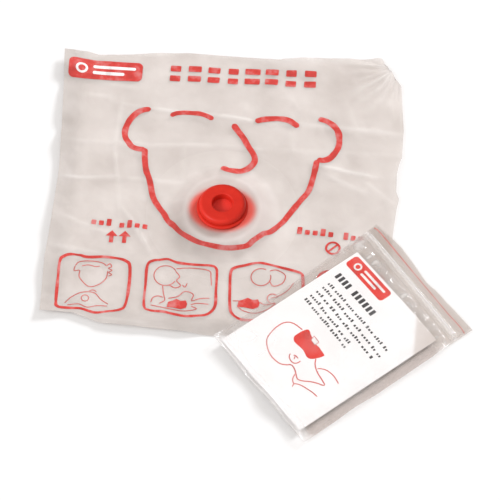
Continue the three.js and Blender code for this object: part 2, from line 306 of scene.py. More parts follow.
def film_material(dark, light):
    """Thin frosted film, crinkled: part see-through, with painted highlights along its creases
    that make it whiter and less clear there.
    """
    mat = Material("shield_film_frosted")
    place = mat.coords()
    cloud = mat.noise(place, scale=0.035, rough=0.5)
    fine = mat.noise(place, scale=0.55, rough=0.6, distortion=0.6)
    grain = mat.noise(place, scale=2.6, detail=2.0, rough=0.6)
    crease, tint = mat.attribute("crease"), mat.attribute("blush")
    edge, matt = mat.attribute("edge"), mat.attribute("matt")
    base = mat.ramp(cloud, [(0.25, dark), (0.75, light)])
    # painted highlight: the colour is lifted towards near-white along the creases
    base = mat.mix_colour(mat.times(crease, 0.75, clamp=True), base, (0.93, 0.91, 0.89))
    base = mat.mix_colour(tint, base, (0.88, 0.130, 0.085))
    height = mat.plus(mat.times(fine, 0.8), mat.times(grain, 0.25))
    normal = mat.bump(height, strength=0.35, distance=0.0006)
    surface = mat.add("BsdfPrincipled", Roughness=mat.plus(0.27, mat.times(matt, 0.26)),
                      Specular_IOR_Level=0.55, Base_Color=base, Normal=normal)
    glow = mat.add("BsdfTranslucent", Color=base, Normal=normal)
    through = mat.add("BsdfTransparent", Color=(1.0, 0.985, 0.975))
    body = mat.mix_shader(0.30, surface, glow)
    # how clear the film is, less what the painted crease highlights, the tint and the edges take
    # away
    clear = 0.52
    for mark, loss in ((crease, 0.15), (tint, 0.20), (edge, 0.20)):
        clear = mat.math("SUBTRACT", clear, mat.times(mark, loss))
    shadow = mat.mix_colour(edge, (0.79, 0.775, 0.765), (0.33, 0.32, 0.315))
    shadow = mat.add("BsdfTransparent", Color=shadow)
    return mat.done(mat.mix_shader(mat.shadow_ray(), mat.mix_shader(clear, body, through),
                                   shadow))


def ink_material(name, colour, clear, mottled):
    """Printed ink: thin, a little uneven, semi-gloss."""
    mat = Material(name)
    place = mat.coords()
    patches = mat.noise(place, scale=0.11, rough=0.6)
    specks = mat.noise(place, scale=1.9, detail=2.0, rough=0.6)
    light = tuple(min(1, part * 0.80 + 0.16) for part in colour)
    dark = tuple(part * 0.80 for part in colour)
    base = mat.ramp(patches, [(0.36, dark), (0.5, colour),
                              (0.66, light if mottled > 0.15 else colour)])
    base = mat.mix_colour(mat.times(specks, mottled * 0.5), base, light)
    surface = mat.add("BsdfPrincipled", Roughness=0.42, Specular_IOR_Level=0.35,
                      Base_Color=base, Normal=mat.bump(specks, strength=0.2, distance=0.0002))
    return mat.done(mat.mix_shader(clear, surface, mat.add("BsdfTransparent")))


def plastic_material(name, colour, dark, rough, specular, scatter=0.0):
    """Moulded plastic: faint flow marks, satin, slightly uneven gloss."""
    mat = Material(name)
    place = mat.coords()
    flow = mat.noise(place, scale=0.12, rough=0.5, distortion=0.8)
    mottle = mat.noise(place, scale=1.6, rough=0.6)
    grain = mat.noise(place, scale=6.0, detail=2.0, rough=0.5)
    base = mat.ramp(flow, [(0.3, dark), (0.7, colour)])
    uneven = mat.plus(mat.times(mottle, 0.16), rough - 0.08)
    height = mat.plus(mat.times(mottle, 0.7), mat.times(grain, 0.3))
    inside = {}
    if scatter:
        inside = {"Subsurface_Weight": scatter, "Subsurface_Scale": 0.002,
                  "Subsurface_Radius": (1.0, 0.3, 0.2)}
    return mat.done(mat.add("BsdfPrincipled", Specular_IOR_Level=specular, Base_Color=base,
                            Roughness=uneven, **inside,
                            Normal=mat.bump(height, strength=0.18, distance=0.00025)))


def clear_film_material(name, haze, rough, gloss, crinkle, tone=(0.93, 0.92, 0.92), shade=0.96,
                        spread=0.5, tint=(0.945, 0.925, 0.905)):
    """Clear glossy film, a little milky. Only its outer side scatters light.

    `tone` colours the milkiness, `spread` is what the crease attribute (milkiness with painted
    highlights or painted shade, by sheet) adds to it, `tint` colours what is seen through the
    film, darkened to a painted shade where painted_band_shade is set, and `shade` is the light
    let through at a full crease.
    """
    mat = Material(name)
    place = mat.coords()
    cloud = mat.noise(place, scale=0.10, rough=0.5, distortion=0.6)
    fine = mat.noise(place, scale=0.75, rough=0.6, distortion=0.8)
    crease = mat.attribute("crease")
    normal = mat.bump(mat.plus(fine, mat.times(cloud, 1.5)), strength=crinkle, distance=0.0004)
    shine = mat.add("BsdfGlossy", Roughness=rough, Normal=normal)
    base = mat.ramp(cloud, [(0.3, tuple(part * 0.95 for part in tone)), (0.7, tone)])
    surface = mat.add("BsdfPrincipled", Roughness=0.5, Base_Color=base, Normal=normal)
    milk = mat.mix_shader(0.45, surface, mat.add("BsdfTranslucent", Color=tone))
    # painted shade: seen darker and warmer through the film in the band beside the leaflet's +x
    # edge
    seen = mat.mix_colour(mat.attribute("painted_band_shade"), tint, (0.850, 0.805, 0.782))
    through = mat.add("BsdfTransparent", Color=seen)
    milky = mat.plus(mat.times(crease, spread), haze, clamp=True)
    body = mat.mix_shader(milky, through, milk)
    fresnel = mat.add("Fresnel", IOR=1.45, Normal=normal)
    outer = mat.mix_shader(mat.times(fresnel, gloss, clamp=True), body, shine)
    shadow = mat.mix_colour(crease, (0.985, 0.985, 0.985), (shade, shade * 0.995, shade * 0.99))
    shadow = mat.add("BsdfTransparent", Color=shadow)
    inner = mat.add("BsdfTransparent", Color=(1, 1, 1))
    backfacing = mat.node("NewGeometry").outputs["Backfacing"]
    sides = mat.mix_shader(backfacing, outer, inner)
    return mat.done(mat.mix_shader(mat.shadow_ray(), sides, shadow))


def paper_material():
    """Coated white paper with faint fibre, with painted shade past its creased corner."""
    mat = Material("leaflet_paper")
    place = mat.coords()
    cloud = mat.noise(place, scale=0.05, detail=2.0, rough=0.5)
    fibre = mat.noise(place, scale=3.5, rough=0.7)
    base = mat.ramp(cloud, [(0.3, (0.865, 0.848, 0.845)), (0.7, (0.925, 0.915, 0.912))])
    base = mat.mix_colour(mat.times(fibre, 0.10), base, (0.84, 0.83, 0.83))
    # painted shade on the corner past the crease
    base = mat.mix_colour(mat.attribute("crease"), base, (0.615, 0.550, 0.512))
    return mat.done(mat.add("BsdfPrincipled", Roughness=0.55, Specular_IOR_Level=0.3,
                            Base_Color=base,
                            Normal=mat.bump(fibre, strength=0.12, distance=0.0001)))


def floor_material():
    mat = Material("floor_white")
    cloud = mat.noise(mat.coords(), scale=0.004, detail=2.0)
    base = mat.ramp(cloud, [(0.3, (0.835, 0.835, 0.835)), (0.7, (0.845, 0.845, 0.845))])
    return mat.done(mat.add("BsdfPrincipled", Roughness=0.9, Specular_IOR_Level=0.0,
                            Base_Color=base))


FILM = film_material(dark=(0.640, 0.592, 0.560), light=(0.800, 0.760, 0.735))
INK = ink_material("print_red", (0.69, 0.052, 0.042), clear=0.12, mottled=0.18)
FINE_INK = ink_material("print_red_fine", (0.70, 0.14, 0.125), clear=0.26, mottled=0.3)
WHITE_INK = ink_material("print_white", (0.88, 0.86, 0.85), clear=0.0, mottled=0.1)
VALVE_RED = plastic_material("valve_red_satin", (0.62, 0.024, 0.012), (0.55, 0.018, 0.009),
                             rough=0.46, specular=0.20, scatter=0.06)
FLANGE_RED = plastic_material("flange_red", (0.74, 0.050, 0.030), (0.64, 0.032, 0.018),
                              rough=0.45, specular=0.3)
# lighter than the valve's red: painted light that offsets the shade in the bore
FLAP_RED_PAINTED_BRIGHT = plastic_material("flap_silicone_red", (0.76, 0.046, 0.032), (0.70, 0.038, 0.025),
                            rough=0.55, specular=0.25, scatter=0.10)
PATCH = clear_film_material("seal_patch_frosted", haze=0.16, rough=0.35, gloss=0.3, crinkle=0.2)
POUCH_FILM = clear_film_material("pouch_film_clear", haze=0.025, rough=0.10, gloss=1.5,
                                 crinkle=0.45, shade=0.86, spread=0.66,
                                 tint=(0.975, 0.968, 0.962))
POUCH_BACK = clear_film_material("pouch_back_clear", haze=0.05, rough=0.14, gloss=1.2,
                                 crinkle=0.45, tone=(0.63, 0.565, 0.52), shade=0.90,
                                 spread=0.75, tint=(0.950, 0.930, 0.915))
ZIP = clear_film_material("zip_milky", haze=0.42, rough=0.12, gloss=2.2, crinkle=0.12,
                          tone=(0.86, 0.815, 0.785), shade=0.90, tint=(0.95, 0.935, 0.92))
ZIP_INK = ink_material("zip_line_red", (0.72, 0.27, 0.24), clear=0.42, mottled=0.3)
PAPER = paper_material()
LEAFLET_RED = ink_material("leaflet_red", (0.73, 0.024, 0.012), clear=0.0, mottled=0.06)
LEAFLET_BLACK = ink_material("leaflet_black", (0.032, 0.031, 0.034), clear=0.0, mottled=0.1)
LEAFLET_LINE = ink_material("leaflet_line_red", (0.64, 0.10, 0.09), clear=0.0, mottled=0.12)
FLOOR = floor_material()


# ------------------------------------------------------------------ mesh builders
def make_mesh(name, points, faces, mat, normals=None, smooth=True, attrs=None):
    mesh = bpy.data.meshes.new(name)
    mesh.from_pydata((np.asarray(points, float) * MM).tolist(), [], faces)
    mesh.update()
    if smooth:
        mesh.polygons.foreach_set("use_smooth", [True] * len(mesh.polygons))
    for key, values in (attrs or {}).items():
        attribute = mesh.attributes.new(key, "FLOAT", "POINT")
        attribute.data.foreach_set("value", np.asarray(values, np.float32))
    if normals is not None:
        lengths = np.linalg.norm(normals, axis=1, keepdims=True)
        mesh.normals_split_custom_set_from_vertices(
            (normals / np.maximum(lengths, 1e-9)).tolist())
    mesh.materials.append(mat)
    ob = bpy.data.objects.new(name, mesh)
    bpy.context.scene.collection.objects.link(ob)
    return ob


def crisp_edges(ob, angle):
    """Turns all faces outward and marks edges bent by more than `angle` degrees as sharp."""
    bm = bmesh.new()
    bm.from_mesh(ob.data)
    bmesh.ops.recalc_face_normals(bm, faces=bm.faces[:])
    for edge in bm.edges:
        if len(edge.link_faces) == 2 and edge.calc_face_angle(0) > math.radians(angle):
            edge.smooth = False
    bm.to_mesh(ob.data)
    bm.free()


def grid_quads(rows, columns):
    j, i = np.mgrid[0:rows - 1, 0:columns - 1]
    first = (j * columns + i).ravel()
    return np.stack([first, first + 1, first + columns + 1, first + columns], 1)


def two_sides(points, normals, thick, attrs):
    """Upper then lower points of a thin sheet, with their normals and attributes."""
    half = normals * thick / 2
    both = np.concatenate([(points + half).reshape(-1, 3), (points - half).reshape(-1, 3)])
    facing = np.concatenate([normals.reshape(-1, 3), -normals.reshape(-1, 3)])
    return both, facing, {key: np.tile(np.ravel(value), 2) for key, value in attrs.items()}


def sheet(name, points, normals, thick, mat, attrs):
    """A closed thin sheet over a grid of points[rows, columns, 3]."""
    rows, columns = points.shape[:2]
    total = rows * columns
    quads = grid_quads(rows, columns)
    rim = []
    for i in range(columns - 1):
        k = total - columns + i
        rim.append((i + total, i + 1 + total, i + 1, i))
        rim.append((k, k + 1, k + 1 + total, k + total))
    for i in range(0, total - columns, columns):
        k = i + columns - 1
        rim.append((i, i + columns, i + columns + total, i + total))
        rim.append((k + total, k + columns + total, k + columns, k))
    faces = quads.tolist() + (quads[:, [0, 3, 2, 1]] + total).tolist() + rim
    both, facing, doubled = two_sides(points, normals, thick, attrs)
    return make_mesh(name, both, faces, mat, facing, attrs=doubled)


def sheet_with_hole(name, points, normals, thick, mat, attrs, hole):
    """A sheet as above, with a hole of radius `hole` round the z axis."""
    rows, columns = points.shape[:2]
    total = rows * columns
    radius = np.hypot(points[..., 0], points[..., 1])
    # points just outside the hole move onto its edge; quads that reach inside are left out
    near = (radius >= hole) & (radius < hole + 0.75)
    points = points.copy()
    points[..., :2] *= np.where(near, hole / np.maximum(radius, 1e-6), 1.0)[..., None]
    quads = grid_quads(rows, columns)
    quads = quads[~(radius < hole).ravel()[quads].any(axis=1)]
    edges = dict.fromkeys((quad[k], quad[(k + 1) % 4]) for quad in quads.tolist()
                          for k in range(4))
    rim = [[end, start, start + total, end + total] for start, end in edges
           if (end, start) not in edges]
    faces = np.concatenate([quads, quads[:, [0, 3, 2, 1]] + total, rim])
    both, facing, doubled = two_sides(points, normals, thick, attrs)
    used = np.zeros(2 * total, bool)
    used[faces] = True
    faces = (np.cumsum(used) - 1)[faces].tolist()
    return make_mesh(name, both[used], faces, mat, facing[used],
                     attrs={key: value[used] for key, value in doubled.items()})


def shares(start, end, step):
    count = max(1, int(math.ceil(np.linalg.norm(end - start) / step)))
    return np.arange(count) / count


def smooth_line(points, closed=False, step=0.8):
    """Catmull-Rom through the points, sampled about every `step` mm."""
    stops = list(np.asarray(points, float))
    if closed:
        stops = [stops[-1]] + stops + stops[:2]
    else:
        stops = [2 * stops[0] - stops[1]] + stops + [2 * stops[-1] - stops[-2]]
    out = []
    for before, start, end, after in zip(stops, stops[1:], stops[2:], stops[3:]):
        for t in shares(start, end, step):
            out.append(0.5 * (2 * start + (end - before) * t
                              + (2 * before - 5 * start + 4 * end - after) * t * t
                              + (3 * start - before - 3 * end + after) * t ** 3))
    if not closed:
        out.append(stops[-2])
    return np.array(out)


def straight_line(points, closed=False, step=0.8):
    stops = list(np.asarray(points, float))
    if closed:
        stops.append(stops[0])
    out = [start + (end - start) * t for start, end in zip(stops, stops[1:])
           for t in shares(start, end, step)]
    if not closed:
        out.append(stops[-1])
    return np.array(out)


def circle(x, y, radius, count=40, start=0, end=360):
    """Points round a circle, or round an arc with both its ends, from angles in degrees."""
    angles = [math.radians(start + (end - start) * k / count)
              for k in range(count + (end - start < 360))]
    return [(x + radius * math.cos(a), y + radius * math.sin(a)) for a in angles]


def placed(points, x, y, turn=0.0, scale=1.0):
    """Points scaled and turned about the origin, then moved to x, y."""
    cos, sin = math.cos(turn), math.sin(turn)
    return [(x + scale * (cos * px - sin * py), y + scale * (sin * px + cos * py))
            for px, py in points]


class Print:
    """Marks lying on a height field: strips and filled outlines, each a thin closed solid."""
    CELL = 1.2                                  # filled marks are cut into cells this wide
    VIEW = np.array([0.037, -0.529, 0.848])     # from the part to the camera

    def __init__(self, height, off, thick=0.04, shift=(0.0, 0.0)):
        self.height, self.off, self.thick, self.shift = height, off, thick, np.array(shift)
        self.points, self.faces = [], []

    def _add(self, flat, faces, edges):
        """Adds a mark from its flat points, its upper faces and its outline's edges."""
        low = len(self.points)
        flat = np.asarray(flat, float) + self.shift
        count = len(flat)
        z = self.height(flat[:, 0], flat[:, 1]) + self.off
        self.points.extend(np.column_stack([flat, z + self.thick]).tolist())
        self.points.extend(np.column_stack([flat, z]).tolist())
        for face in faces:
            self.faces.append([low + k for k in face])
            self.faces.append([low + count + k for k in reversed(face)])
        for a, b in edges:
            self.faces.append([low + b, low + a, low + count + a, low + count + b])

    def slope_share(self, line, side):
        """Width share that makes a strip on sloping film look as wide as on flat film."""
        x, y = (line + self.shift).T
        side_x, side_y = side.T
        slope = (self.height(x + 2 * side_x, y + 2 * side_y)
                 - self.height(x - 2 * side_x, y - 2 * side_y)) / 4.0
        flat, sloping = (
            np.linalg.norm(way - (way @ self.VIEW)[:, None] * self.VIEW, axis=1)
            for way in (np.column_stack([side, slope * 0]), np.column_stack([side, slope])))
        share = np.clip(flat / np.maximum(sloping, 1e-6), 0.60, 1.40)
        return np.convolve(np.pad(share, 3, mode="edge"), np.ones(7) / 7.0, mode="valid")

    def strip(self, line, width, wobble=0.0, seed=1, closed=False, cap=True, even=False):
        """A strip along a line. `cap` rounds its ends; `even` allows for the film's slope."""
        line = np.asarray(line, float)
        if closed:
            tangent = np.roll(line, -1, 0) - np.roll(line, 1, 0)
        else:
            tangent = np.gradient(line, axis=0)
        tangent /= np.maximum(np.linalg.norm(tangent, axis=1, keepdims=True), 1e-9)
        side = np.column_stack([-tangent[:, 1], tangent[:, 0]])
        count = len(line)
        half = np.full(count, width / 2.0)
        if even:
            half = half * self.slope_share(line, side)
        if wobble:
            k = np.arange(count)
            half *= 1 + wobble * (noise(k * 0.8, k * 0.0 + seed * 13.1, 5.0, 31 + seed) - 0.5) * 2
        if cap and not closed:
            gaps = np.linalg.norm(np.diff(line, axis=0), axis=1)
            run = np.concatenate([[0], np.cumsum(gaps)])
            radius = width / 2.0
            for gap in (run, run[-1] - run):
                # the half-width follows a circle over the last stretch
                curve = np.sqrt(np.clip(1 - ((radius - gap) / radius) ** 2, 0.03, 1))
                half = np.where(gap < radius, half * curve, half)
        wide = max(2, int(math.ceil(width / 0.9)) + 1)
        spots = half[:, None] * np.linspace(-1, 1, wide)[None, :]
        flat = (line[:, None, :] + side[:, None, :] * spots[..., None]).reshape(-1, 2)
        faces, edges = [], []
        for j in range(count if closed else count - 1):
            a, b = j * wide, (j + 1) % count * wide
            for i in range(wide - 1):
                faces.append([b + i, b + i + 1, a + i + 1, a + i])
            edges += [(a, b), (b + wide - 1, a + wide - 1)]
        if not closed:
            last = (count - 1) * wide
            for i in range(wide - 1):
                edges += [(i + 1, i), (last + i, last + i + 1)]
        self._add(flat, faces, edges)

    def fill(self, outline):
        outline = np.asarray(outline, float)
        bm = bmesh.new()
        ring = [bm.verts.new((x, y, 0)) for x, y in outline.tolist()]
        edges = [bm.edges.new((ring[k], ring[(k + 1) % len(ring)])) for k in range(len(ring))]
        bmesh.ops.triangle_fill(bm, edges=edges, use_beauty=True, use_dissolve=False,
                                normal=(0, 0, 1))
        for way, low, high in zip(((1, 0, 0), (0, 1, 0)), outline.min(0), outline.max(0)):
            k = math.ceil(low / self.CELL)
            while k * self.CELL < high:
                bmesh.ops.bisect_plane(bm, geom=bm.verts[:] + bm.edges[:] + bm.faces[:],
                                       dist=1e-4, plane_no=way,
                                       plane_co=[k * self.CELL * part for part in way])
                k += 1
        bmesh.ops.recalc_face_normals(bm, faces=bm.faces[:])
        bm.verts.index_update()
        upward = {}
        for face in bm.faces:
            ids = [vert.index for vert in face.verts]
            upward[face] = ids[::-1] if face.normal.z < 0 else ids
        edges = []
        for edge in bm.edges:
            if len(edge.link_faces) == 1:
                ids = upward[edge.link_faces[0]]
                a, b = (vert.index for vert in edge.verts)
                follows = ids[(ids.index(a) + 1) % len(ids)] == b
                edges.append((a, b) if follows else (b, a))
        flat = np.array([(vert.co.x, vert.co.y) for vert in bm.verts])
        bm.free()
        self._add(flat, list(upward.values()), edges)

    def rounded(self, x, y, width, height, radius, turn=0.0):
        """A filled rounded rectangle, turned about its middle."""
        ring = []
        count = 10 if radius > 1 else 4
        for right, up, start in ((1, 1, 0), (-1, 1, 90), (-1, -1, 180), (1, -1, 270)):
            middle_x, middle_y = right * (width / 2 - radius), up * (height / 2 - radius)
            ring += circle(middle_x, middle_y, radius, count, start, start + 90)
        clean = []
        for point in placed(ring, x, y, turn):
            if not clean or math.dist(point, clean[-1]) > 0.02:
                clean.append(point)
        if math.dist(clean[0], clean[-1]) < 0.02:
            clean.pop()
        self.fill(clean)

    def word(self, x, y, width, height, turn):
        """A word drawn as a run of short bars, so no letters are formed."""
        count = max(2, round(width / 4.6))
        gap = width / count
        for k in range(count):
            along = -width / 2 + gap * (k + 0.5)
            tall = height * (1.5 if (k * 7 + int(abs(x))) % 3 == 0 else 1.0)
            self.rounded(x + math.cos(turn) * along,
                         y + math.sin(turn) * along + (tall - height) / 2,
                         gap * 0.62, tall, 0.5, turn)

    def build(self, name, mat, to_world=None):
        points = np.array(self.points, float)
        if to_world is not None:
            points = to_world(points)
        return make_mesh(name, points, self.faces, mat, smooth=False)


def lathe(name, profile, mat, segments):
    """A closed solid turned from (radius, z) pairs. Points on the axis are merged."""
    points, faces, rings = [], [], []
    for radius, z in profile:
        first, count = len(points), 1 if radius < 1e-6 else segments
        rings.append(range(first, first + count))
        if count == 1:
            points.append((0, 0, z))
            continue
        for k in range(segments):
            angle = 2 * math.pi * k / segments
            points.append((radius * math.cos(angle), radius * math.sin(angle), z))
    pairs = list(zip(rings[:-1], rings[1:]))
    if len(rings[0]) > 1:
        pairs.append((rings[-1], rings[0]))
    for low, high in pairs:
        for k in range(segments):
            after = (k + 1) % segments
            if len(low) == 1:
                faces.append((low[0], high[after], high[k]))
            elif len(high) == 1:
                faces.append((low[k], low[after], high[0]))
            else:
                faces.append((low[k], low[after], high[after], high[k]))
    ob = make_mesh(name, points, faces, mat)
    crisp_edges(ob, angle=38)
    return ob


def arc(radius_mid, z_mid, radius, start, end, count):
    """Profile points round a small circle, both ends included."""
    return circle(radius_mid, z_mid, radius, count, start, end)


# ------------------------------------------------------------------ the shield's film
# The sheet's outline as it lies: share along the edge, x, y.
TOP = table("""
    0,-108.6,114.6 .07,-93.4,115.1 .10,-86.9,114.2 .25,-54.1,117.3 .36,-30.9,119.8
    .46,-8.5,119 .54,8.6,118.8 .63,28.4,117.9 .73,50.4,120.3 .92,91.5,122.3 1,98.6,112.2""")
BOTTOM = table("""
    0,-104.8,-77.6 .09,-85.8,-77.1 .14,-76.4,-80.4 .18,-67,-83.6 .27,-48.3,-84.3
    .48,-3.2,-86.4 .75,52,-87.2 1,106,-86.5""")
LEFT = table("""
    0,-104.8,-77.6 .20,-105.7,-37.9 .31,-104.4,-16.8 .45,-103.7,8.8 .54,-103.3,25.9
    .78,-105.6,72 1,-108.6,114.6""")
RIGHT = table("""
    0,106,-86.5 .39,105,-8 .48,106.4,10.3 .51,107.6,17.7 .54,105.7,22.7 .60,105.4,35.3
    .635,106.5,42.8 .66,108,48.1 .77,108.3,69.2 .87,106.4,88.7 .94,105.3,101.7 1,98.6,112.2""")

# Folds in the film: from x, y, to x, y, height, half-width, whiteness of the painted highlight
# along the fold.
FOLDS = table("""
    -52,75.2,-9,71.9,1,2.2,.9     -9,71.9,14,70.2,1.5,2.4,1     14,70.2,44,69.4,.9,3,.3
    -72,78,-52,75.2,.7,3,.3       44,69.4,107,65.5,1.3,4.5,.55
    -102,46.6,-49,47.2,1,4,.35    -49,47.2,-6,50.5,.8,3.5,.4    -6,50.5,24,48.8,.7,3,.35
    24,48.8,108,49.8,.7,5,.2
    -103,19.6,-64,22.2,1.1,2.8,.6 -64,22.2,-22,20.8,.7,3,.35
    -69,82,-70.3,42,.9,3.5,.35    -70.3,42,-66,18,.8,2.6,.6     -66,18,-63,-4,.7,3,.3
    56,39,93,32,1.7,2.6,.9        60,33,88,20,1,4,.45           84,30,106,12,.9,4,.3
    38,78,40,44,.7,5,.15          -26,20,-28,52,.6,5,.15        70,92,82,58,.8,6,.2
    -100,-8,-60,-22,.9,4,.3       -64,4,-46,-26,.8,2.6,.45      -58,-4,-40,-34,.6,2.2,.4
    -104,-30,-70,-34,.7,3.5,.3    -98,96,-60,90,.9,4,.3         -92,84,-74,82,.6,4,.3
    30,-34,100,-30,.5,5,.2        -20,-32,26,-33,.6,4,.2        -72,-80,-40,-82,.8,3,.3""")
FOLDED_CORNER = (103.0, 116.0)

FILM_AREA = (-116, 116, -96, 128)
film, painted_crease_highlights = Field(*FILM_AREA), Field(*FILM_AREA)


def add_folds(x, y, height, white):
    uneven = 0.75 + 0.5 * noise(x, y, cell=9, seed=71)
    patchy = 0.55 + 0.9 * noise(x, y, cell=12, seed=72)
    for row in FOLDS:
        tall, width, whiteness = row[4:]
        gap, share = segment_distance(x, y, row[:2], row[2:4])
        ends = 0.35 + 0.65 * rise(0, 0.18, share) * fall(0.82, 1, share)
        height = height + tall * np.exp(-gap / width) * ends * uneven
        # painted highlight along the fold
        white = np.maximum(white, whiteness * bell(gap, width * 0.42) * ends * patchy)
    return height, white


def add_corner_fan(x, y, height, white):
    """A fan of pleats running in from the folded corner, with painted highlights on their raised
    parts.
    """
    run_x, run_y = x - FOLDED_CORNER[0], y - FOLDED_CORNER[1]
    gap = np.hypot(run_x, run_y)
    fan = facets(np.arctan2(run_y, run_x) * 26, gap * 0.18, cell=3.2, seed=51) - 0.5
    reach = bell(gap, 26.0) * rise(1.0, 9.0, gap) + 0.25 * bell(gap, 9)
    height = height + (4.4 * fan * reach + 1.2 * bell(gap, 20))
    return height, np.maximum(white, unit(fan * 2.2) * reach * 1.1)


def lift_edges(x, y, height):
    """The edges lift a little off the table."""
    soft = partial(noise, x, y)
    height = height + (
        3.1 * fall(0, 20, x + 106) * (0.6 + 0.9 * soft(cell=38, seed=81))
        + 1.6 * fall(0, 16, y + 86) * (0.3 + soft(cell=30, seed=82)) * (x < 20))
    height = height + (1.1 * fall(0, 12, 119 - y) * soft(cell=22, seed=83)
                       + 1.2 * fall(0, 14, 107 - x) * soft(cell=26, seed=84))
    return np.maximum(height, 0.12 + 0.12 * soft(cell=7, seed=85))


def press_under_pouch(x, y, height, white):
    run_x, run_y = x - POUCH_ORIGIN[0], y - POUCH_ORIGIN[1]
    across = run_x * ACROSS[0] + run_y * ACROSS[1]
    along = run_x * ALONG[0] + run_y * ALONG[1]
    outside = np.maximum(np.maximum(np.abs(across) - (POUCH_HALF + 1), -2 - along),
                         np.maximum(along - (POUCH_LONG + 1), 0))
    free = rise(0.0, 13.0, outside)
    # the painted crease highlights fade under the pouch
    return 0.16 + (height - 0.16) * free, white * (0.35 + 0.65 * free)


def raise_round_valve(x, y, radius, height, white):
    """Flat on the seal patch, then falling to the table with soft pleats."""
    angle = np.arctan2(y, x)
    pleat = (0.42 * np.sin(angle * 9 + 1.5 * np.sin(angle * 2 + 0.6))
             + 0.28 * np.sin(angle * 17 + 1.1))
    pleat = pleat * (1 - 0.92 * bell(angle - 0.10, 0.85))
    tent = FILM_SEAT * fall(21.6, 37.5, radius) ** 1.15
    band = unit((radius - 22) / 8) * unit((41 - radius) / 9)
    height = np.where(radius < 41,
                      height * rise(26, 41, radius) + tent + pleat * band * 0.9, height)
    # painted highlight: whitest on the -y side, just outside the patch, and on the pleats; the
    # painted crease highlights fade near the valve
    white = np.maximum(
        white * rise(24, 40, radius),
        0.45 * bell(radius - 23.2, 1.1) * (0.5 + 0.5 * unit(-np.sin(angle)))
        + 0.85 * bell(radius - 24.6, 2.6) * unit(-np.sin(angle + 0.35)) ** 2
        + 0.3 * unit(pleat) * band)
    return height, white


def shape_film():
    x, y = film.x, film.y
    soft, sharp = partial(noise, x, y), partial(facets, x, y)
    # broad swells, then large, middling and small crumples
    calm = 0.45 + 1.1 * soft(cell=52, seed=41)
    height = 0.9 + 1.5 * (soft(cell=46, seed=3, turn=0.3) - 0.5)
    height = height + 1.9 * (sharp(cell=30, seed=11, turn=0.05, stretch=1.25) - 0.5)
    height = height + 1.35 * calm * (sharp(cell=13.5, seed=21, turn=0.1, stretch=1.25) - 0.5)
    height = height + 0.42 * calm * (sharp(cell=5.5, seed=31, turn=-0.3) - 0.5)
    height, white = add_folds(x, y, height, np.zeros_like(x))
    height, white = add_corner_fan(x, y, height, white)
    height = lift_edges(x, y, height)
    for hinge in (HINGE_LOW, HINGE_HIGH):
        # quiet near the folding lines
        quiet = bell(y - hinge, 5.5)
        height = height * (1 - 0.55 * quiet) + 0.45 * 0.55 * quiet
    height, white = press_under_pouch(x, y, height, white)
    radius = np.hypot(x, y)
    height, white = raise_round_valve(x, y, radius, height, white)
    off_seat = rise(20.5, 22.5, radius)
    film.values = blur(height, 1.05) * off_seat + FILM_SEAT * (1 - off_seat)
    # painted highlights from the folds, the corner fan and the valve's ring
    painted_crease_highlights.values = unit(blur(white, 1.2))


def blush(x, y):
    """Red of the oval flange showing through the film that lies on it."""
    return fall(0.84, 1.10, np.hypot(x / 20.8, (y + 0.6) / 16.8)) * 0.94


def along_edge(curve, share):
    return np.stack([np.interp(share, curve[:, 0], curve[:, k]) for k in (1, 2)], -1)


def build_film():
    """Fills the outline with a grid, about 1 mm apart, and returns its lower and upper part."""
    right, up = np.meshgrid(np.linspace(0, 1, FILM_WIDE + 1), np.linspace(0, 1, FILM_TALL + 1))
    bottom, top = along_edge(BOTTOM, right), along_edge(TOP, right)
    left_side, right_side = along_edge(LEFT, up), along_edge(RIGHT, up)
    share, tall = right[..., None], up[..., None]
    flat = ((1 - tall) * bottom + tall * top + (1 - share) * left_side + share * right_side
            - ((1 - share) * (1 - tall) * BOTTOM[0, 1:] + share * (1 - tall) * BOTTOM[-1, 1:]
               + (1 - share) * tall * TOP[0, 1:] + share * tall * TOP[-1, 1:]))
    x, y = flat[..., 0], flat[..., 1]
    points = np.stack([x, y, film(x, y)], -1)
    normals = film.normal(x, y)
    # the raised margin on two sides keeps more of the light off the table
    margin = np.minimum(right * FILM_WIDE, up * FILM_TALL + np.maximum(x - 20, 0) * 0.4)
    attrs = {"crease": painted_crease_highlights(x, y), "blush": blush(x, y), "edge": fall(5, 15, margin),
             "matt": fall(34, 48, np.hypot(x, y))}
    row = int(np.argmin(np.abs(y[:, right.shape[1] // 2] - SPLIT)))

    def part(rows):
        return (points[rows], normals[rows], FILM_THICK, FILM,
                {key: values[rows] for key, values in attrs.items()})

    return (sheet_with_hole("shield_film_lower", *part(slice(0, row + 1)), SPIGOT_HOLE),
            sheet("shield_film_upper", *part(slice(row, None))))


shape_film()
film_lower, film_upper = build_film()


# ------------------------------------------------------------------ print on the film
FACE_LINE = 3.5
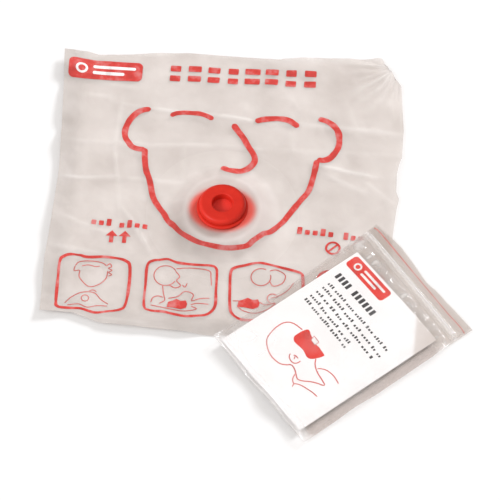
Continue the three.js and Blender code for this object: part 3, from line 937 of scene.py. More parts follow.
# The face: width, then the points of its line, drawn on the flat sheet.
FACE = [
    # ear at -x
    (FACE_LINE + 0.3, """-50.5,74.7 -54.8,73.7 -59,71.1 -62.9,65.5 -65.1,58.1 -64.6,52.5
        -61.9,48.2 -59.8,45.6 -56.5,44.3 -53.4,44 -51.3,44.4"""),
    # cheeks and chin
    (FACE_LINE + 0.1, """-51.6,45 -51.2,38 -49.6,28.9 -46.8,21.6 -43.6,9.4 -40,3 -35.8,-2.6
        -32.9,-7.5 -29,-10.8 -25,-14.9 -19.8,-18.2 -13.4,-21.3 -6.5,-23 4.3,-24.4
        15.9,-22.2 20.6,-17.5 26.4,-12.4 30.3,-11 36.9,-4 40.2,1.3 43.3,6.6 47.5,13.5
        51.7,20.4 54.1,31.7 55.6,43.6"""),
    # ear at +x
    (FACE_LINE + 0.5, """55.5,43.9 59.3,43.6 62.9,45 65.6,48.4 68.1,53.6 68.6,59.3
        67.4,65.5 64.4,69.9 59.4,73.3 54.6,74.4"""),
    # brows
    (3.2, "-37.9,70.3 -34.6,72.3 -29.6,73.4 -24.6,73.5 -19.6,73.4 -15.1,71.9 -10.9,69.6"),
    (3.9, "15.4,69.8 20.1,71.6 27.5,72.8 33.2,72.6 37.5,71.3 42.8,67.6"),
    # nose
    (FACE_LINE + 0.4, """1.6,66.8 5.1,61.9 9.1,56.5 12.1,51.1 15.4,46.1 16.9,42.5
        16.7,38.8 13.9,34.8 10.3,32.4 7,31.7 1,32.4 -3.2,34.4"""),
]
HEADING_WIDTHS = (6.6, 8.2, 7.6, 6.4, 9.6, 8.2, 6.6, 7.4)
ARROW = table("-.5,0 -.17,0 -.17,-.62 .17,-.62 .17,0 .5,0 0,.55")  # unit size, to +y
# Outlines of the four picture frames, from -x to +x.
FRAMES = [
    """-95.6,-70.5 -96,-54.4 -96,-41.5 -94,-37.8 -89.9,-35.7 -84.4,-36 -79.8,-37 -69.7,-36.1
    -61.1,-36.4 -56,-38 -53.4,-41.6 -52.7,-54.9 -53.7,-68.5 -56.6,-72.6 -63.6,-74.6
    -70.7,-76.2 -75.6,-75.2 -80.7,-73.9 -89.1,-73.9 -94.1,-73.6""",
    """-42.5,-68.4 -42.8,-53.5 -42.8,-40 -39.6,-36.4 -35.5,-35.6 -30.7,-34.7 -24.3,-36.9
    -14,-37.6 -3.7,-37.6 -1,-39.2 -.2,-42.7 .1,-54.8 .3,-66 -3.7,-72 -10.5,-73.8
    -17.7,-74.3 -24.5,-73.1 -31.2,-71.8 -39.2,-71.4""",
    """9.3,-65.5 8.4,-52.8 8.1,-41.2 10.4,-37.7 16.4,-35.8 24.3,-33.4 30.3,-34.1 37,-35.5
    47.6,-37.8 51.3,-39.5 52.2,-44 53.1,-58.2 52.5,-68.8 48,-74 37.2,-74.1 28.1,-73.7
    20.3,-74.2 15.6,-73.6 11,-70.3""",
    """61.4,-66.1 60.8,-52 61,-42 63.4,-37.9 68.5,-36.1 80.4,-36.4 96.6,-37.2 100.6,-39.7
    101.9,-54.6 101.9,-67.2 98.5,-72.4 88.3,-72.6 70.3,-73.2 63.6,-71.4""",
]
LITTLE_SHIELD = table("""
    -6.2,-2.6 -5.6,1.2 -3.2,2.2 -.8,3.6 2,2.4 5,3 6,.4 5.4,-2.4 2.2,-3.4 -2.4,-2.6""")
# Thin lines of the pictures: the points of a line, or a circle's x, y, radius and number of
# points, with a start and an end angle where it is only an arc.
PICTURES = [
    # 1: the folded sheet held up by a hand, over the pouch it came from
    "-86.5,-43.5 -84,-40.6 -76,-39.6 -70,-40.4 -67.6,-42.4",
    """-86.5,-43.5 -86.8,-47.2 -83.6,-46.8 -83.2,-51.6 -77.4,-57.6 -71.6,-56.2 -67.2,-51.4
    -66.4,-45.6""",
    "-82.6,-43.6 -78.6,-42.6 -74.2,-43.4 -71.4,-42.6",
    """-67.6,-42.4 -65.6,-40.6 -64.4,-42.6 -66.2,-44 -63.9,-45.2 -65.8,-46.8 -63.8,-48.2
    -66,-49.4""",
    "-90.4,-70.6 -86.6,-66 -80.6,-62.2 -73.4,-62 -68.8,-66.4 -64,-69.4",
    "-88.8,-71.8 -82,-70.8 -76.6,-72.6 -70.6,-71 -64.4,-70.8",
    (-78.4, -66.3, 2.2, 16),
    "-76.6,-61 -74.2,-60 -71.8,-61.2",
    # 2: a helper leaning over someone lying down
    (-31.2, -46.6, 7.0, 26, 30, 330),
    "-25.4,-43 -22.6,-46.8 -24.2,-49.8 -21.6,-53 -24.6,-54.8 -28.8,-53",
    "-25.2,-41.4 -16,-40.2 -5.2,-41.2 -3.6,-46 -2.8,-52",
    "-32.4,-53.4 -31.6,-58.6 -30.4,-63.8 -33.6,-66.4",
    "-38.6,-66.2 -37.6,-62.6 -34.6,-61.2 -31.2,-62",
    "-28.4,-62.4 -22.6,-60.6 -18.6,-56.8 -13.4,-58.6 -14,-63 -9,-61.4 -3.2,-60.6",
    "-14.6,-66 -10.4,-64.8 -3.4,-65",
    "-38.8,-67.8 -32,-68.8 -26,-69.8 -17.6,-70.6 -10.8,-68.8 -14,-67",
    "-20.6,-52.4 -18.8,-53.8 -17.6,-51",
    # 3: air blown through the valve
    (26.6, -43.4, 6.0, 24, 60, 380),
    "31.6,-38.8 35.8,-37.8 41.2,-41 40,-46.6 34.6,-49.2 32,-45.8",
    "46.8,-46 43.6,-51.4 38,-56.2 33.2,-57.8",
    (34.6, -58.0, 3.2, 16, 20, 250),
    "10.6,-61.6 15,-61.2",
    "26.8,-61 30.6,-62.8 36.4,-61.2 31.8,-66 25,-69 18,-68 14,-65.4",
    "36.2,-62.2 44,-64.8 50.6,-64.4",
    # 4: watch the chest rise
    "66,-63 72,-60 80,-56 90,-57.4 99,-60",
    (70.0, -54.0, 5.0, 22, 40, 330),
    "80,-50.6 84,-46.6 88,-50.6",
    "84,-46.6 84,-54",
    "66,-66.4 80,-67.4 98,-66.6",
]


def settle(points):
    """Moves marks on the flat sheet to where they lie once the film under them is lifted."""
    out = []
    for x, y in points:
        moved = y
        for _ in range(6):
            lift = float(film(x, moved)) - 1.0
            moved = 0.5 * moved + 0.5 * (y - lift * 0.625)
        out.append((x + lift * 0.044, moved))
    return out


def face_print():
    ink = Print(film, INK_OFF)
    for k, (width, points) in enumerate(FACE):
        line = smooth_line(settle(smooth_line(table(points), step=2.5)))
        ink.strip(line, width, wobble=0.10, seed=k, even=True)
    return ink.build("print_face", INK)


def heading_print():
    ink = Print(film, INK_OFF)
    # plain rounded panel near the -x end of the forehead edge
    ink.rounded(-81.5, 102.2, 46.5, 14.6, radius=3.4, turn=0.012)
    # heading: plain block pairs in place of letters
    for k, (x, width) in enumerate(zip(np.linspace(-37.4, 47.8, 8), HEADING_WIDTHS)):
        y = 103.3 + 0.0145 * (x + 40) + 0.35 * math.sin(k * 1.7)
        for offset in (3.75, -3.75):
            ink.rounded(x, y + offset, width, 4.4, radius=0.7, turn=0.02 * math.sin(k * 2.1))
    # "this way up": two words over two arrows
    for x, y, width in ((-73.6, -11.4, 14.0), (-53.8, -12.6, 19.0)):
        ink.word(x, y, width, height=3.4, turn=-0.03)
    for x in (-66.5, -58.5):
        ink.fill(placed(ARROW, x, -20.4, turn=-0.02, scale=7.4)[::-1])
    # "one use": two words over a struck-out ring
    for x, y, width in ((57.6, -9.6, 24.0), (81.0, -11.6, 13.5)):
        ink.word(x, y, width, height=3.4, turn=-0.05)
    ink.strip(circle(69.0, -19.6, 4.1), width=1.3, closed=True)
    ink.strip(straight_line([(65.9, -22.6), (72.1, -16.6)]), width=1.2, cap=False)
    return ink.build("print_heading", INK)


def panel_print():
    """A blank sign in the panel: one ring and two plain bars."""
    ink = Print(film, INK_OFF + 0.06)
    ink.strip(circle(-96.5, 102.1, 3.1, 32), width=1.5, closed=True)
    ink.rounded(-76.0, 104.4, 27.0, 2.3, radius=1.0, turn=0.012)
    ink.rounded(-79.5, 99.8, 20.0, 2.3, radius=1.0, turn=0.012)
    return ink.build("print_tab_bars", WHITE_INK)


def frames_print():
    ink = Print(film, INK_OFF)
    for k, points in enumerate(FRAMES):
        ink.strip(smooth_line(table(points), closed=True), width=1.7, wobble=0.22,
                  seed=20 + k, closed=True)
    # the little shield over the face in the two middle frames
    for x, y, scale in ((-22.5, -66.0, 1.0), (20.5, -62.5, 1.1)):
        ink.fill(placed(LITTLE_SHIELD, x, y, scale=scale)[::-1])
    return ink.build("print_frames", INK)


def pictures_print():
    ink = Print(film, INK_OFF)
    for item in PICTURES:
        is_line = isinstance(item, str)
        closed = not is_line and len(item) == 4
        points = table(item) if is_line else circle(*item)
        ink.strip(smooth_line(points, closed=closed, step=0.7), width=0.62, closed=closed)
    return ink.build("print_pictures", FINE_INK)


def cut_at(ob, y):
    """Splits an object at a plane y (mm); returns both parts, either of which may be None."""
    heights = [vert.co.y for vert in ob.data.vertices]
    if max(heights) <= y * MM + 1e-6:
        return ob, None
    if min(heights) >= y * MM - 1e-6:
        return None, ob
    upper = ob.copy()
    upper.data = ob.data.copy()
    upper.name = ob.name + "_upper"
    bpy.context.scene.collection.objects.link(upper)
    for part in (ob, upper):
        bm = bmesh.new()
        bm.from_mesh(part.data)
        cut = bmesh.ops.bisect_plane(bm, geom=bm.verts[:] + bm.edges[:] + bm.faces[:],
                                     dist=1e-7, plane_co=(0, y * MM, 0), plane_no=(0, 1, 0),
                                     clear_inner=part is upper, clear_outer=part is ob)
        edges = [item for item in cut["geom_cut"] if isinstance(item, bmesh.types.BMEdge)]
        bmesh.ops.holes_fill(bm, edges=edges, sides=0)
        bm.to_mesh(part.data)
        bm.free()
    return ob, upper


def bend_at(ob, below, above, hinge):
    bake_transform(ob)


LOWER_BEND = ("shield", "brow_panel", HINGE_LOW)
UPPER_BEND = ("brow_panel", "top_panel", HINGE_HIGH)


def ride_film(ob):
    """Cuts a piece lying on the film at the split; a part that reaches a folding line only has
    its transform baked, the others ride with the panel under them.
    """
    for part, bend in zip(cut_at(ob, SPLIT), (LOWER_BEND, UPPER_BEND)):
        if part is None:
            continue
        if max(vert.co.y for vert in part.data.vertices) > (bend[2] - 2) * MM:
            bend_at(part, *bend)
        else:
            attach(part, bend[0])


for print_ob in [face_print(), heading_print(), panel_print(), frames_print(),
                 pictures_print()]:
    ride_film(print_ob)
bend_at(film_lower, *LOWER_BEND)
bend_at(film_upper, *UPPER_BEND)
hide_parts("film_valve_panel", "film_brow_panel")
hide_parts("film_top_panel")


# ------------------------------------------------------------------ valve
def place(ob, ride, slot, *replaced):
    """Attaches a piece to the body it moves with and hides the parts it stands for; `slot` is not
    used.
    """
    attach(ob, ride)
    if replaced:
        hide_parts(*replaced)


# Profiles as (radius, z).
MOUTHPIECE = (
    [(8.0, 6.9), (8.9, 6.9), (8.9, 7.6), (11.6, 7.6), (11.6, 9.7), (13.5, 9.7)]
    + arc(13.55, 10.45, 0.7, -80, -5, 6)
    + arc(12.05, 11.8, 2.2, 2, 84, 16)
    + [(11.4, 13.99), (10.6, 13.93), (9.2, 13.82), (8.0, 13.80)]
    + arc(6.95, 13.1, 0.7, 90, 180, 8)
    + [(6.25, 12.0), (6.25, 8.7), (6.95, 8.7), (7.15, 9.2), (8.0, 9.2)])
CLAMP_RING = (
    [(12.0, 7.6), (15.2, 7.6)] + arc(15.35, 8.0, 0.4, -80, 0, 5)
    + arc(15.15, 8.8, 0.6, 0, 90, 8) + [(13.8, 9.42), (12.0, 9.42)])
FLAP = ([(0, 7.9), (6.9, 7.9)] + arc(7.35, 8.15, 0.25, 80, -80, 6)[::-1]
        + [(6.9, 8.4), (3.0, 8.38), (0, 8.4)])
SEAL_PATCH = ([(SPIGOT_HOLE, 6.76), (21.4, 6.76)] + arc(21.7, 6.86, 0.1, -80, 80, 4)
              + [(21.4, 6.95), (SPIGOT_HOLE, 6.95)])


def build_valve():
    """Builds the valve and returns its mouldings, without the seal patch."""
    mouthpiece = lathe("mouthpiece_moulding", MOUTHPIECE, VALVE_RED, segments=192)
    place(mouthpiece, "shield", "valve_plastic", "mouthpiece")
    clamp = lathe("clamp_ring_moulding", CLAMP_RING, VALVE_RED, segments=192)
    place(clamp, "shield", "valve_plastic", "clamp_ring")
    flap = lathe("flap_disc", FLAP, FLAP_RED_PAINTED_BRIGHT, segments=96)
    place(flap, "flap", "flap_silicone", "valve_flap")
    patch = lathe("seal_patch_disc", SEAL_PATCH, PATCH, segments=128)
    patch.data.attributes.new("crease", "FLOAT", "POINT")
    place(patch, "shield", "seal_patch", "film_seal_ring")
    for name in ("lip_flange", "flap_cage"):
        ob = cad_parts[name]
        ob.data.materials.clear()
        ob.data.materials.append(FLANGE_RED)
    return mouthpiece, clamp, flap


valve_mouldings = build_valve()


# ------------------------------------------------------------------ heights of the pouch
# From here to the stage, x is across, y is along and z is up in the pouch's own frame.
POUCH_AREA = (-50, 50, -6, 136)
leaf, front, back, front_milk_and_painted_highlights, back_milk_and_painted_shade = (Field(*POUCH_AREA) for _ in range(5))
WELD = 0.13         # rise from the back film to the front film at the weld
CHANNEL_EDGE = 114.7


def past_corner(x, y):
    """How far a point is past the crease across the leaflet's corner near the zip."""
    return (x - 20.0) * 0.684 + (y - 106.0) * 0.7295


def shape_leaf(x, y):
    bulge = unit(1 - ((x - 1.5) / 41.0) ** 2)
    height = (3.35 + 1.25 * bulge * rise(2, 40, y) * (1 - 0.35 * rise(66, 104, y))
              + 0.6 * (noise(x, y, cell=34, seed=201) - 0.5)
              + 0.16 * (facets(x, y, cell=14, seed=203) - 0.5))
    # the creased corner tips down
    height = np.maximum(height - 0.060 * np.maximum(past_corner(x, y), 0), 2.85)
    # pinched along the edge at +x
    return blur(height - 0.72 * rise(33.5, 40.5, x) * rise(-2, 10, y), 1.6)


def shape_back(x, y, rim):
    """The welded rim stands off the table in soft waves, most of all by the bottom weld."""
    free = fall(0.0, 9.0, rim) * fall(100, 114, y)
    wave = ((3.1 + 1.8 * fall(0, 10, y)) * free * (0.30 + 1.1 * noise(x, y, cell=17, seed=213))
            * (1 - 0.75 * rise(0, -30, x) * rise(20, 60, y)))
    height = (0.70 + 0.10 * (noise(x, y, cell=9, seed=211) - 0.5)
              + 1.25 * rise(119, 128, y) * noise(x, y * 0.3, cell=17, seed=212) + wave)
    return blur(np.minimum(height, np.where(rim > 4.6, 2.1, 9)), 1.2)


def mound(x, y, middle_x, middle_y, wide, tall):
    return np.exp(-((x - middle_x) / wide) ** 2 - ((y - middle_y) / tall) ** 2)


def shape_front(x, y, from_side, swell, pucker, inside):
    sharp = partial(facets, x, y)
    # over the leaflet the film clings, with soft swellings
    over = (leaf.values + 0.42 + 0.42 * sharp(cell=16, seed=221, turn=0.3)
            + 0.14 * sharp(cell=6.5, seed=223, turn=0.7) + swell)
    # beyond the leaflet: trapped air and small puckers, then the zip, then the lip
    packed = 2.55 + pucker * bell(y - 108.5, 4.2) * 0.9
    zipped = (2.78 + 1.35 * bell(y - ZIP_MID, 1.30, power=3)
              + 0.45 * bell(y - CHANNEL_EDGE, 0.55) + 0.35 * bell(y - 120.5, 0.5))
    to_zip = rise(110.5, 113.4, y)
    mouth = packed * (1 - to_zip) + zipped * to_zip
    lip = 2.80 + 1.5 * rise(122, 128.5, y) * (noise(x, y * 0.3, cell=15, seed=241) - 0.15)
    top = np.where(y > LIP_START, lip, mouth)
    beyond = rise(104.0, 107, y)
    height = over * (1 - beyond) + top * beyond
    # pulled down to the weld at the rim
    base = back.values + WELD
    height = base + (height - base) * np.where(y > 110, rise(0.5, 4.2, from_side), inside)
    # radiating puckers at the two bottom corners
    crumple = sharp(cell=3.4, seed=265, turn=0.8)
    for corner, seed in ((-POUCH_HALF, 251), (POUCH_HALF, 252)):
        angle, gap = np.arctan2(y, x - corner), np.hypot(x - corner, y)
        rays = facets(angle * 16, gap * 0.2, cell=2.2, seed=seed) - 0.3
        height = (height + rays * 1.9 * bell(gap, 13.0) * rise(0.5, 5, gap)
                  + 0.9 * (crumple - 0.4) * bell(gap, 12.0) * rise(0.5, 4, gap))
    # never below the leaflet or the weld
    on_leaf = (np.abs(x - 1.5) < 39.6) & (y > 2.0) & (y < 106.6)
    height = np.maximum(height, np.where(on_leaf, leaf.values + 0.32, 0))
    return np.maximum(blur(height, 0.9), base)


# Milkiness of the front film, with painted highlights and painted light.
def paint_front_milk_and_highlights(x, y, from_side, swell, pucker):
    sharp = partial(facets, x, y)
    # milky side and bottom welds, with painted light spread along the bottom weld and a faint
    # milky strip at -x, then painted highlights along the zip's ridge and channel edge
    white = (0.60 * bell(from_side, 1.1) * (0.30 + 0.70 * rise(-40, -30, x))
             + 0.95 * bell(y, 2.0) + 0.80 * fall(2.6, 8.0, y) + 0.12 * fall(-42, -37, x)
             + bell(y - ZIP_MID, 1.35, power=4) + 0.35 * bell(y - CHANNEL_EDGE, 0.4))
    # painted highlights on swellings, puckers and scattered creases
    white = white + (0.36 * swell / 1.7
                     + 0.42 * unit(pucker / 2.7) ** 2 * bell(y - 108.5, 4.5))
    white = white + 0.30 * sharp(cell=8, seed=261, turn=0.3) ** 6
    # fewer painted highlights beside the leaflet's +x edge, and a faint even milky veil over the
    # painted shade band there
    white = (white * (1 - 0.55 * rise(40.2, 41.2, x) * rise(4, 12, y) * fall(96, 104, y))
             + 0.16 * rise(40.0, 41.0, x) * fall(44.5, 46.5, x) * rise(3, 10, y)
             * fall(98, 106, y))
    # small painted highlights on puckers in the empty band, and on the crumpled corners
    spots = unit((noise(x, y, cell=2.6, seed=263) - 0.72) / 0.12)
    white = white + 1.1 * (spots * bell(y - 108.8, 2.4))
    crumple = unit((sharp(cell=3.4, seed=265, turn=0.8) - 0.45) / 0.3)
    for corner_x, corner_y, reach in ((-46, 0, 11), (46, 0, 10), (-44, 106, 8)):
        white = white + 0.9 * crumple * bell(np.hypot(x - corner_x, y - corner_y), reach)
    return unit(blur(white, 0.7))


def back_milk_and_band_shade(x, y, rim):
    """Milkiness of the back film beyond the leaflet and round the rim, and a painted shade band
    along the +x side.
    """
    return unit(rise(101, 106, y) * 0.95
                + 0.22 * fall(1.5, 7.5, rim) * (0.6 + 0.6 * noise(x, y, cell=9, seed=267))
                * (0.25 + 0.75 * rise(-41, -36, x))
                # painted shade band along the +x side
                + 0.16 * rise(39.5, 41.0, x) * rise(1, 8, y) * fall(98, 106, y))


def shape_pouch():
    x, y = leaf.x, leaf.y
    sharp = partial(facets, x, y)
    from_side = POUCH_HALF - np.abs(x)
    rim = np.minimum(from_side, y)
    back.values = shape_back(x, y, rim)
    leaf.values = np.maximum(shape_leaf(x, y), back.values + 0.75)
    inside = rise(0.8, 5.4, from_side) * rise(0.6, 4.2, y)
    swell = (1.7 * mound(x, y, -30, 17, 20, 15) + mound(x, y, 8, 14, 16, 9)
             + 0.9 * mound(x, y, 36, 40, 8, 22))
    swell = swell * (0.55 + 0.9 * sharp(cell=11, seed=225, turn=0.5)) * inside
    pucker = (2.4 * sharp(cell=6.2, seed=231, turn=0.2)
              + 1.1 * sharp(cell=3.4, seed=233, turn=0.9))
    front.values = shape_front(x, y, from_side, swell, pucker, inside)
    front_milk_and_painted_highlights.values = paint_front_milk_and_highlights(x, y, from_side, swell, pucker)
    back_milk_and_painted_shade.values = back_milk_and_band_shade(x, y, rim)


shape_pouch()

# ------------------------------------------------------------------ pouch films
# Wave of the lip's free edge: across, offset along.
LIP_WAVE = table("""
    -46,.3 -38,.9 -31,2 -24,2.3 -18,1.7 -11,.8 -5,-.1 0,-.8 4,-1.1 8,-.8 10.6,-.2 16,0
    21.5,-.2 25,.1 31,.2 38,.1 46,0""")


def mouth_warp(x, y):
    """Sets the zip and the coloured line a little askew, and the lip's free edge wavy."""
    zip_y = ZIP_MID + np.clip(0.75 - 0.062 * x, -2.0, 2.9)
    line_y = 124.35 + np.clip(-0.35 - 0.050 * x, -1.9, 1.6)
    edge_y = POUCH_LONG + np.interp(x, LIP_WAVE[:, 0], LIP_WAVE[:, 1])
    marks = [(106.0, 106.0), (ZIP_MID, zip_y), (LIP_START, LIP_START), (124.35, line_y),
             (POUCH_LONG, edge_y)]
    out = np.array(y, float)
    for (start, new_start), (end, new_end) in zip(marks[:-1], marks[1:]):
        moved = new_start + (new_end - new_start) * (y - start) / (end - start)
        out = np.where((y > start) & (y <= end), moved, out)
    return out


def pouch_shape(points):
    """The pouch flares a little to its zip, and its edges are not quite straight."""
    x, y = points[..., 0], points[..., 1]
    edge = rise(30, 46, np.abs(x)) * np.sign(x)
    wave = noise(np.sign(x) * 40, y, cell=22, seed=271) - 0.5
    across = x * (1 + 0.016 * y / POUCH_LONG) + edge * 0.9 * wave
    # drawn in at -x towards the bottom weld
    across = (across + 4.2 * rise(37, 46, -x) * fall(-20, 128, y)
              + 1.3 * rise(40, 46, x) * fall(96, 112, y))
    along = mouth_warp(x, y) - fall(0, 14, y) * 0.8 * (noise(x, y * 0, cell=24, seed=273) - 0.5)
    return np.stack([across, along, points[..., 2]], -1)


def steps(low, high, step, least):
    return np.linspace(low, high, max(least, int(round((high - low) / step)) + 1))


def pouch_sheet(name, x_span, y_span, field=front, mat=POUCH_FILM, step=0.8, white=front_milk_and_painted_highlights,
                off=0, thick=POUCH_THICK):
    x, y = np.meshgrid(steps(*x_span, step, least=3), steps(*y_span, step, least=3))
    points = np.stack([x, y, field(x, y) + off], -1)
    # painted shade band beside the leaflet's +x edge
    painted_band_shade = rise(39.4, 40.6, x) * rise(2.0, 9.0, y) * fall(99, 106, y)
    attrs = {"crease": x * 0 if white is None else white(x, y), "painted_band_shade": painted_band_shade}
    return sheet(name, pouch_to_world(pouch_shape(points)),
                 pouch_dir(field.normal(x, y, 0.5)), thick, mat, attrs)


def blend_end(ob, side):
    """Bakes the piece's transform in place; `side` is not used."""
    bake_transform(ob)


def blend_turn(ob, side):
    """Bakes the piece's transform in place; `side` is not used."""
    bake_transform(ob)


def span(side, near, far):
    return sorted((side * near, side * far))


SIDES = (("left", -1), ("right", 1))  # at -across and +across
WHOLE = (-POUCH_HALF, POUCH_HALF)
LIP_ROWS = (LIP_START, POUCH_LONG)


def build_pouch_films():
    ob = pouch_sheet("pouch_back_sheet", WHOLE, (0, POUCH_LONG), back, POUCH_BACK, step=1.0,
                     white=back_milk_and_painted_shade)
    place(ob, "pouch", "pouch_film", "pouch_back_film")
    ob = pouch_sheet("pouch_front_sheet", (-MOUTH_HALF, MOUTH_HALF), (0, LIP_START))
    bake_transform(ob)
    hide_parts("pouch_front_film", "pouch_mouth_film")
    for label, side in SIDES:
        end = span(side, MOUTH_HALF, POUCH_HALF)
        turn = span(side, LIP_HALF, MOUTH_HALF)
        place(pouch_sheet("pouch_side_lower_" + label, end, (0, FOLD)), "pouch", "pouch_film")
        for name, x_span, y_span, blend in (
                ("pouch_side_upper_", end, (FOLD, LIP_START), blend_end),
                ("pouch_lip_end_", end, LIP_ROWS, blend_end),
                ("pouch_lip_turn_", turn, LIP_ROWS, blend_turn)):
            ob = pouch_sheet(name + label, x_span, y_span)
            blend(ob, side)
    ob = pouch_sheet("pouch_lip_sheet", (-LIP_HALF, LIP_HALF), (LIP_START + 0.05, POUCH_LONG))
    place(ob, "pouch_lip", "pouch_film", "pouch_front_lip")


def zip_line(name, x_span):
    """Part of the coloured line printed along the lip."""
    return pouch_sheet(name, x_span, (124.0, 124.7), mat=ZIP_INK, step=0.5, white=None,
                       off=0.11, thick=0.07)


def build_zip_line():
    ob = zip_line("zip_line_print", (-LIP_HALF, LIP_HALF))
    place(ob, "pouch_lip", "zip_line", "zip_colour_line")
    for name, near, far, blend in (
            ("zip_line_turn_", LIP_HALF, MOUTH_HALF, blend_turn),
            ("zip_line_end_", MOUTH_HALF, POUCH_HALF - 0.8, blend_end)):
        for label, side in SIDES:
            ob = zip_line(name + label, span(side, near, far))
            blend(ob, side)


build_pouch_films()
build_zip_line()


# ------------------------------------------------------------------ zip
# Outlines as (along, up).
CHANNEL_UNDERSIDE = table("""
    120.7,2.36 119.2,2.36 119.1,1.62 118.9,1.5 118.6,1.5 118.5,1.62 118.42,2.36 118.2,2.6
    117.5,2.75 116.8,2.6 116.58,2.36 116.5,1.62 116.4,1.5 116.1,1.5 115.9,1.62 115.8,2.36
    114.3,2.36""")
RIB = table("""
    114.3,.9 120.7,.9 120.7,1.15 118,1.16 117.85,1.26 117.86,1.48 117.98,1.6 117.85,1.7
    117.5,1.74 117.15,1.7 117.02,1.6 117.14,1.48 117.15,1.26 117,1.16 114.3,1.15""")


def channel_outline():
    y = np.linspace(114.3, 120.7, 33)
    top = 2.60 + 1.15 * bell(y - ZIP_MID, 1.15, power=3) + 0.2 * bell(y - CHANNEL_EDGE, 0.5)
    return np.concatenate([np.column_stack([y, top]), CHANNEL_UNDERSIDE])


def zip_bar(name, outline, x_span, step=1.2):
    """A closed bar with the given outline, running across the pouch."""
    stations = steps(*x_span, step, least=2)
    points = np.array([(x, y, z) for x in stations for y, z in outline])
    count = len(outline)
    last = (len(stations) - 1) * count
    faces = []
    for k in range(0, last, count):
        for i in range(count):
            j = (i + 1) % count
            faces.append((k + i, k + j, k + count + j, k + count + i))
    faces.append(tuple(range(count))[::-1])
    faces.append(tuple(range(last, last + count)))
    ob = make_mesh(name, pouch_to_world(pouch_shape(points)), faces, ZIP)
    crisp_edges(ob, angle=40)
    ob.data.attributes.new("crease", "FLOAT", "POINT")
    return ob


def build_zip():
    channel = channel_outline()
    ob = zip_bar("zip_channel_moulding", channel, (-MOUTH_HALF, MOUTH_HALF))
    place(ob, "pouch_mouth", "zip_plastic", "zip_channel_strip")
    for label, side in SIDES:
        ob = zip_bar("zip_channel_end_" + label, channel, span(side, MOUTH_HALF, 44.6), step=0.8)
        blend_end(ob, side)
    ob = zip_bar("zip_rib_moulding", RIB, (-44.4, 44.4))
    place(ob, "pouch", "zip_plastic", "zip_rib_strip")


build_zip()


# ------------------------------------------------------------------ leaflet
LEAF_THICK = 0.14
# Lines of small print: y, where the line ends in x, slope.
TEXT_START = -33.0
TEXT_LINES = table("76.6,27,-.018 72.3,27,-.048 67.6,25,-.048 63,8.6,-.068 58.7,9.6,-.050")
# A figure lying back with the sheet over its face.
FIGURE_SHEET = table("""
    -14.4,35.8 -15.4,37.1 -15.6,39.6 -15.4,43 -14.7,45.8 -13.6,46.7 -12,46.4 -10.5,45.7
    -8.3,45.1 -5.6,44.5 -2.9,43.9 -.5,44.2 1.9,43.9 5.8,43.4 6,42.1 5.3,39.5 3.9,36.4
    2.2,34.6 .1,34.3 -2.3,34.9 -4.8,35.4 -7.6,35.2 -10.5,34.8 -12.8,34.9""")
FIGURE_BOX = table("-7.2,43.6 -8.1,46.4 -3.4,46.1 -3.2,43.2")
# Lines of the figure: width, points.
FIGURE_LINES = [
    (0.72, """-15.9,43.7 -18.4,43.3 -21.1,42.8 -23.5,41.9 -25.5,40.3 -26.8,37.8 -27.2,34.7
        -26.8,30.3 -24.9,24.5 -23,22.1 -20.2,20.2 -16.6,18.7 -12.5,17.9 -8.7,18.1 -5.4,19
        -2.3,21.7 -1.4,23.2 .3,23.8 3,23.3 5.8,22.1 8.2,20.9 9.9,21 12.3,22.7 15.6,26.1
        18.9,28.5 21.6,30.1 22.1,31.3"""),
    (0.72, "4.7,37.9 7,35.5 9.9,33.8 13.7,32.6 17.9,32 22.1,31.3"),
    (0.66, "10.7,34.4 12.1,36.1 14.1,37.7 17,38.7 21.2,39.1 26.4,38.2"),
    (0.66, "5.5,21.7 6.5,19.6 7.9,18 10.1,17.2 11.4,18.4 14.1,20 17.8,21.2 21.7,22.3 25.7,22.8"),
    (0.66, "10.1,17.2 10.7,16.2 11.3,14.9"),
    (0.66, "-7.3,28 -6.5,26.5 -5.1,25.6 -3.2,25.1 -1.2,25.4 .1,26.6 .5,28.1 .5,29.7"),
    (0.66, "-5.3,28.5 -4.2,29.5 -1.6,29.5"),
    (0.66, "-4.2,29.2 -3.6,28.3 -2.8,27.2"),
]


def build_leaf(name, off, replaced):
    x, y = np.meshgrid(np.linspace(-37.4, 39.7, 79), np.linspace(2.6, 106, 104))
    # the two leaves lie closer together along the pinched edge
    points = np.stack([x, y, leaf(x, y) + off * (1 - 0.5 * rise(32, 39.5, x))], -1)
    past = past_corner(x, y)
    # painted shade over the bent corner
    painted_corner_shade = rise(-0.6, 1.6, past) * (0.80 + 0.20 * rise(0, 14, past)) * 0.95
    ob = sheet(name, pouch_to_world(points), pouch_dir(leaf.normal(x, y, 0.8)), LEAF_THICK,
               PAPER, {"crease": painted_corner_shade})
    place(ob, "leaflet", "leaflet_paper", replaced)


def print_text(black):
    """Title and small print, as plain bars."""
    for x, width in ((-28.4, 13.2), (-8.6, 20.6)):
        count = round(width / 3.4)
        for k in range(count):
            black.rounded(x - width / 2 + (k + 0.5) * width / count, 84.4,
                          width / count * 0.64, 4.6, radius=0.4)
    random = np.random.RandomState(5)
    for y, end, slope in TEXT_LINES:
        x = TEXT_START
        while x < end:
            width = min(random.uniform(4.0, 10.5), end - x)
            if width < 1.2:
                break
            count = max(1, int(width / 1.75))
            for k in range(count):
                tall = random.choice([1.4, 1.4, 2.1])
                black.rounded(x + (k + 0.5) * width / count,
                              y - 0.35 + slope * (x - TEXT_START) + (tall - 1.5) / 2,
                              width / count * 0.60, tall, radius=0.2)
            x += width + 1.5


def print_figure(red, white, line):
    red.fill(smooth_line(FIGURE_SHEET, closed=True, step=1.0))
    white.fill(FIGURE_BOX)
    line.strip(straight_line(FIGURE_BOX, closed=True), width=0.85, closed=True)
    for width, points in FIGURE_LINES:
        line.strip(smooth_line(table(points), step=0.7), width)


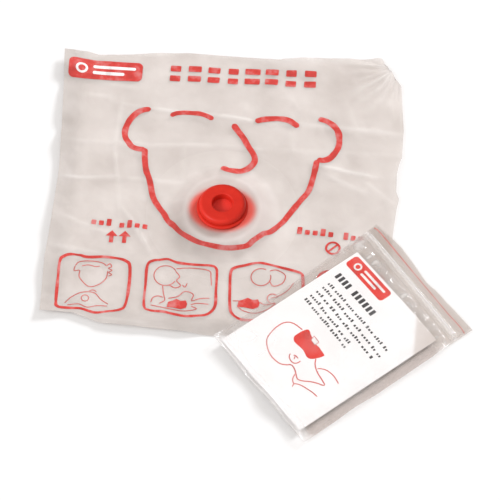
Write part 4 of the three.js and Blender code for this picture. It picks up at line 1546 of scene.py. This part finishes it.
def build_leaflet_print():
    red, black, line, white = (
        Print(leaf, LEAF_THICK / 2 + 0.02 + raised, thick=0.03, shift=(2.6, 1.8))
        for raised in (0, 0, 0.002, 0.035))
    # a panel with a ring and two bars
    red.rounded(-20.8, 97.8, 34.6, 9.4, radius=2.3)
    white.strip(circle(-31.2, 97.8, 2.1, 28), width=1.1, closed=True)
    white.rounded(-16.6, 99.3, 19.4, 1.6, radius=0.7)
    white.rounded(-19.2, 96.2, 14.2, 1.6, radius=0.7)
    print_text(black)
    print_figure(red, white, line)
    for marks, name, mat in ((red, "red", LEAFLET_RED), (black, "black", LEAFLET_BLACK),
                             (line, "lines", LEAFLET_LINE), (white, "white", WHITE_INK)):
        place(marks.build("leaflet_print_" + name, mat, pouch_to_world),
              "leaflet", "leaflet_paper")


build_leaf("leaflet_front_sheet", 0.0, "leaflet_front_leaf")
build_leaf("leaflet_back_sheet", -0.45, "leaflet_back_leaf")
build_leaflet_print()

# ------------------------------------------------------------------ floor, lights, camera
FLOOR_HALF, FLOOR_Z, FLOOR_POINTS = 2500, -0.35, 40
SKY_LIGHT, SKY_SEEN = 0.60, 1.04  # strength as a light, and as seen by the camera
# Azimuth, elevation and spread in degrees, the light given to the level floor, and whether
# the light leaves out the valve's mouldings or falls on them alone.
LIGHTS = [
    ("key_right", 48, 27, 17, 1.04, "EXCLUDE"),
    ("key_left", 200, 42, 36, 0.60, None),
    ("fill", -80, 70, 60, 0.38, None),
    ("valve_left", 216, 35, 14, 0.92, "INCLUDE"),
]
CAMERA_EYE = Vector((0.092561, -1.081514, 1.696096))  # metres
CAMERA_AIM = Vector((0.01863, -0.02426, 0.0))


def build_floor():
    line = np.linspace(-FLOOR_HALF, FLOOR_HALF, FLOOR_POINTS)
    x, y = np.meshgrid(line, line)
    points = np.stack([x, y, x * 0 + FLOOR_Z], -1).reshape(-1, 3)
    make_mesh("floor", points, grid_quads(FLOOR_POINTS, FLOOR_POINTS).tolist(), FLOOR)


def build_world():
    """A backdrop that reads white to the camera and lights the scene softer and warmer."""
    world = bpy.data.worlds.new("soft_white")
    world.use_nodes = True
    nodes = Nodes(world.node_tree)
    background = world.node_tree.nodes["Background"].inputs
    # plain values behind the links
    background["Color"].default_value = (1.0, 0.995, 0.99, 1)
    background["Strength"].default_value = SKY_LIGHT
    seen = nodes.node("LightPath").outputs["Is Camera Ray"]
    nodes.feed(background["Color"], nodes.mix_colour(seen, (1.045, 0.985, 0.940), (1, 1, 1)))
    strength = nodes.node("Mix")
    for k, value in ((0, seen), (2, SKY_LIGHT), (3, SKY_SEEN)):
        nodes.feed(strength.inputs[k], value)
    nodes.feed(background["Strength"], strength.outputs[0])
    bpy.context.scene.world = world


def link_to_valve(ob, state):
    group = bpy.data.collections.new("receivers_" + ob.name)
    for part in valve_mouldings:
        group.objects.link(part)
    ob.light_linking.receiver_collection = group
    for item in group.collection_objects:
        item.light_linking.link_state = state


def add_object(name, data, location, way):
    """Adds a light or a camera that looks along `way`."""
    ob = bpy.data.objects.new(name, data)
    bpy.context.scene.collection.objects.link(ob)
    ob.location = location
    ob.rotation_mode = "QUATERNION"
    ob.rotation_quaternion = way.to_track_quat("-Z", "Y")
    return ob


def build_lights():
    for name, azimuth, elevation, spread, level, valve_link in LIGHTS:
        turn, tilt = math.radians(azimuth), math.radians(elevation)
        light = bpy.data.lights.new(name, "SUN")
        light.angle = math.radians(spread)
        light.energy = level / math.sin(tilt)
        light.color = (0.975, 1.0, 1.035)
        way = Vector((math.cos(turn) * math.cos(tilt), math.sin(turn) * math.cos(tilt),
                      math.sin(tilt)))
        ob = add_object(name, light, way * 1.6, -way)
        if valve_link:
            link_to_valve(ob, valve_link)


def build_camera():
    camera = bpy.data.cameras.new("camera")
    camera.sensor_width, camera.lens = 36.0, 236.0
    camera.clip_start, camera.clip_end = 0.05, 20.0
    bpy.context.scene.camera = add_object("camera", camera, CAMERA_EYE, CAMERA_AIM - CAMERA_EYE)


build_floor()
build_world()
build_lights()
build_camera()

scene = bpy.context.scene
scene.view_settings.view_transform = "Standard"
scene.view_settings.look = "None"
try:
    scene.cycles.transparent_max_bounces = 32
    scene.cycles.max_bounces = 10
except AttributeError:
    # guards against Blender running without the Cycles add-on
    pass
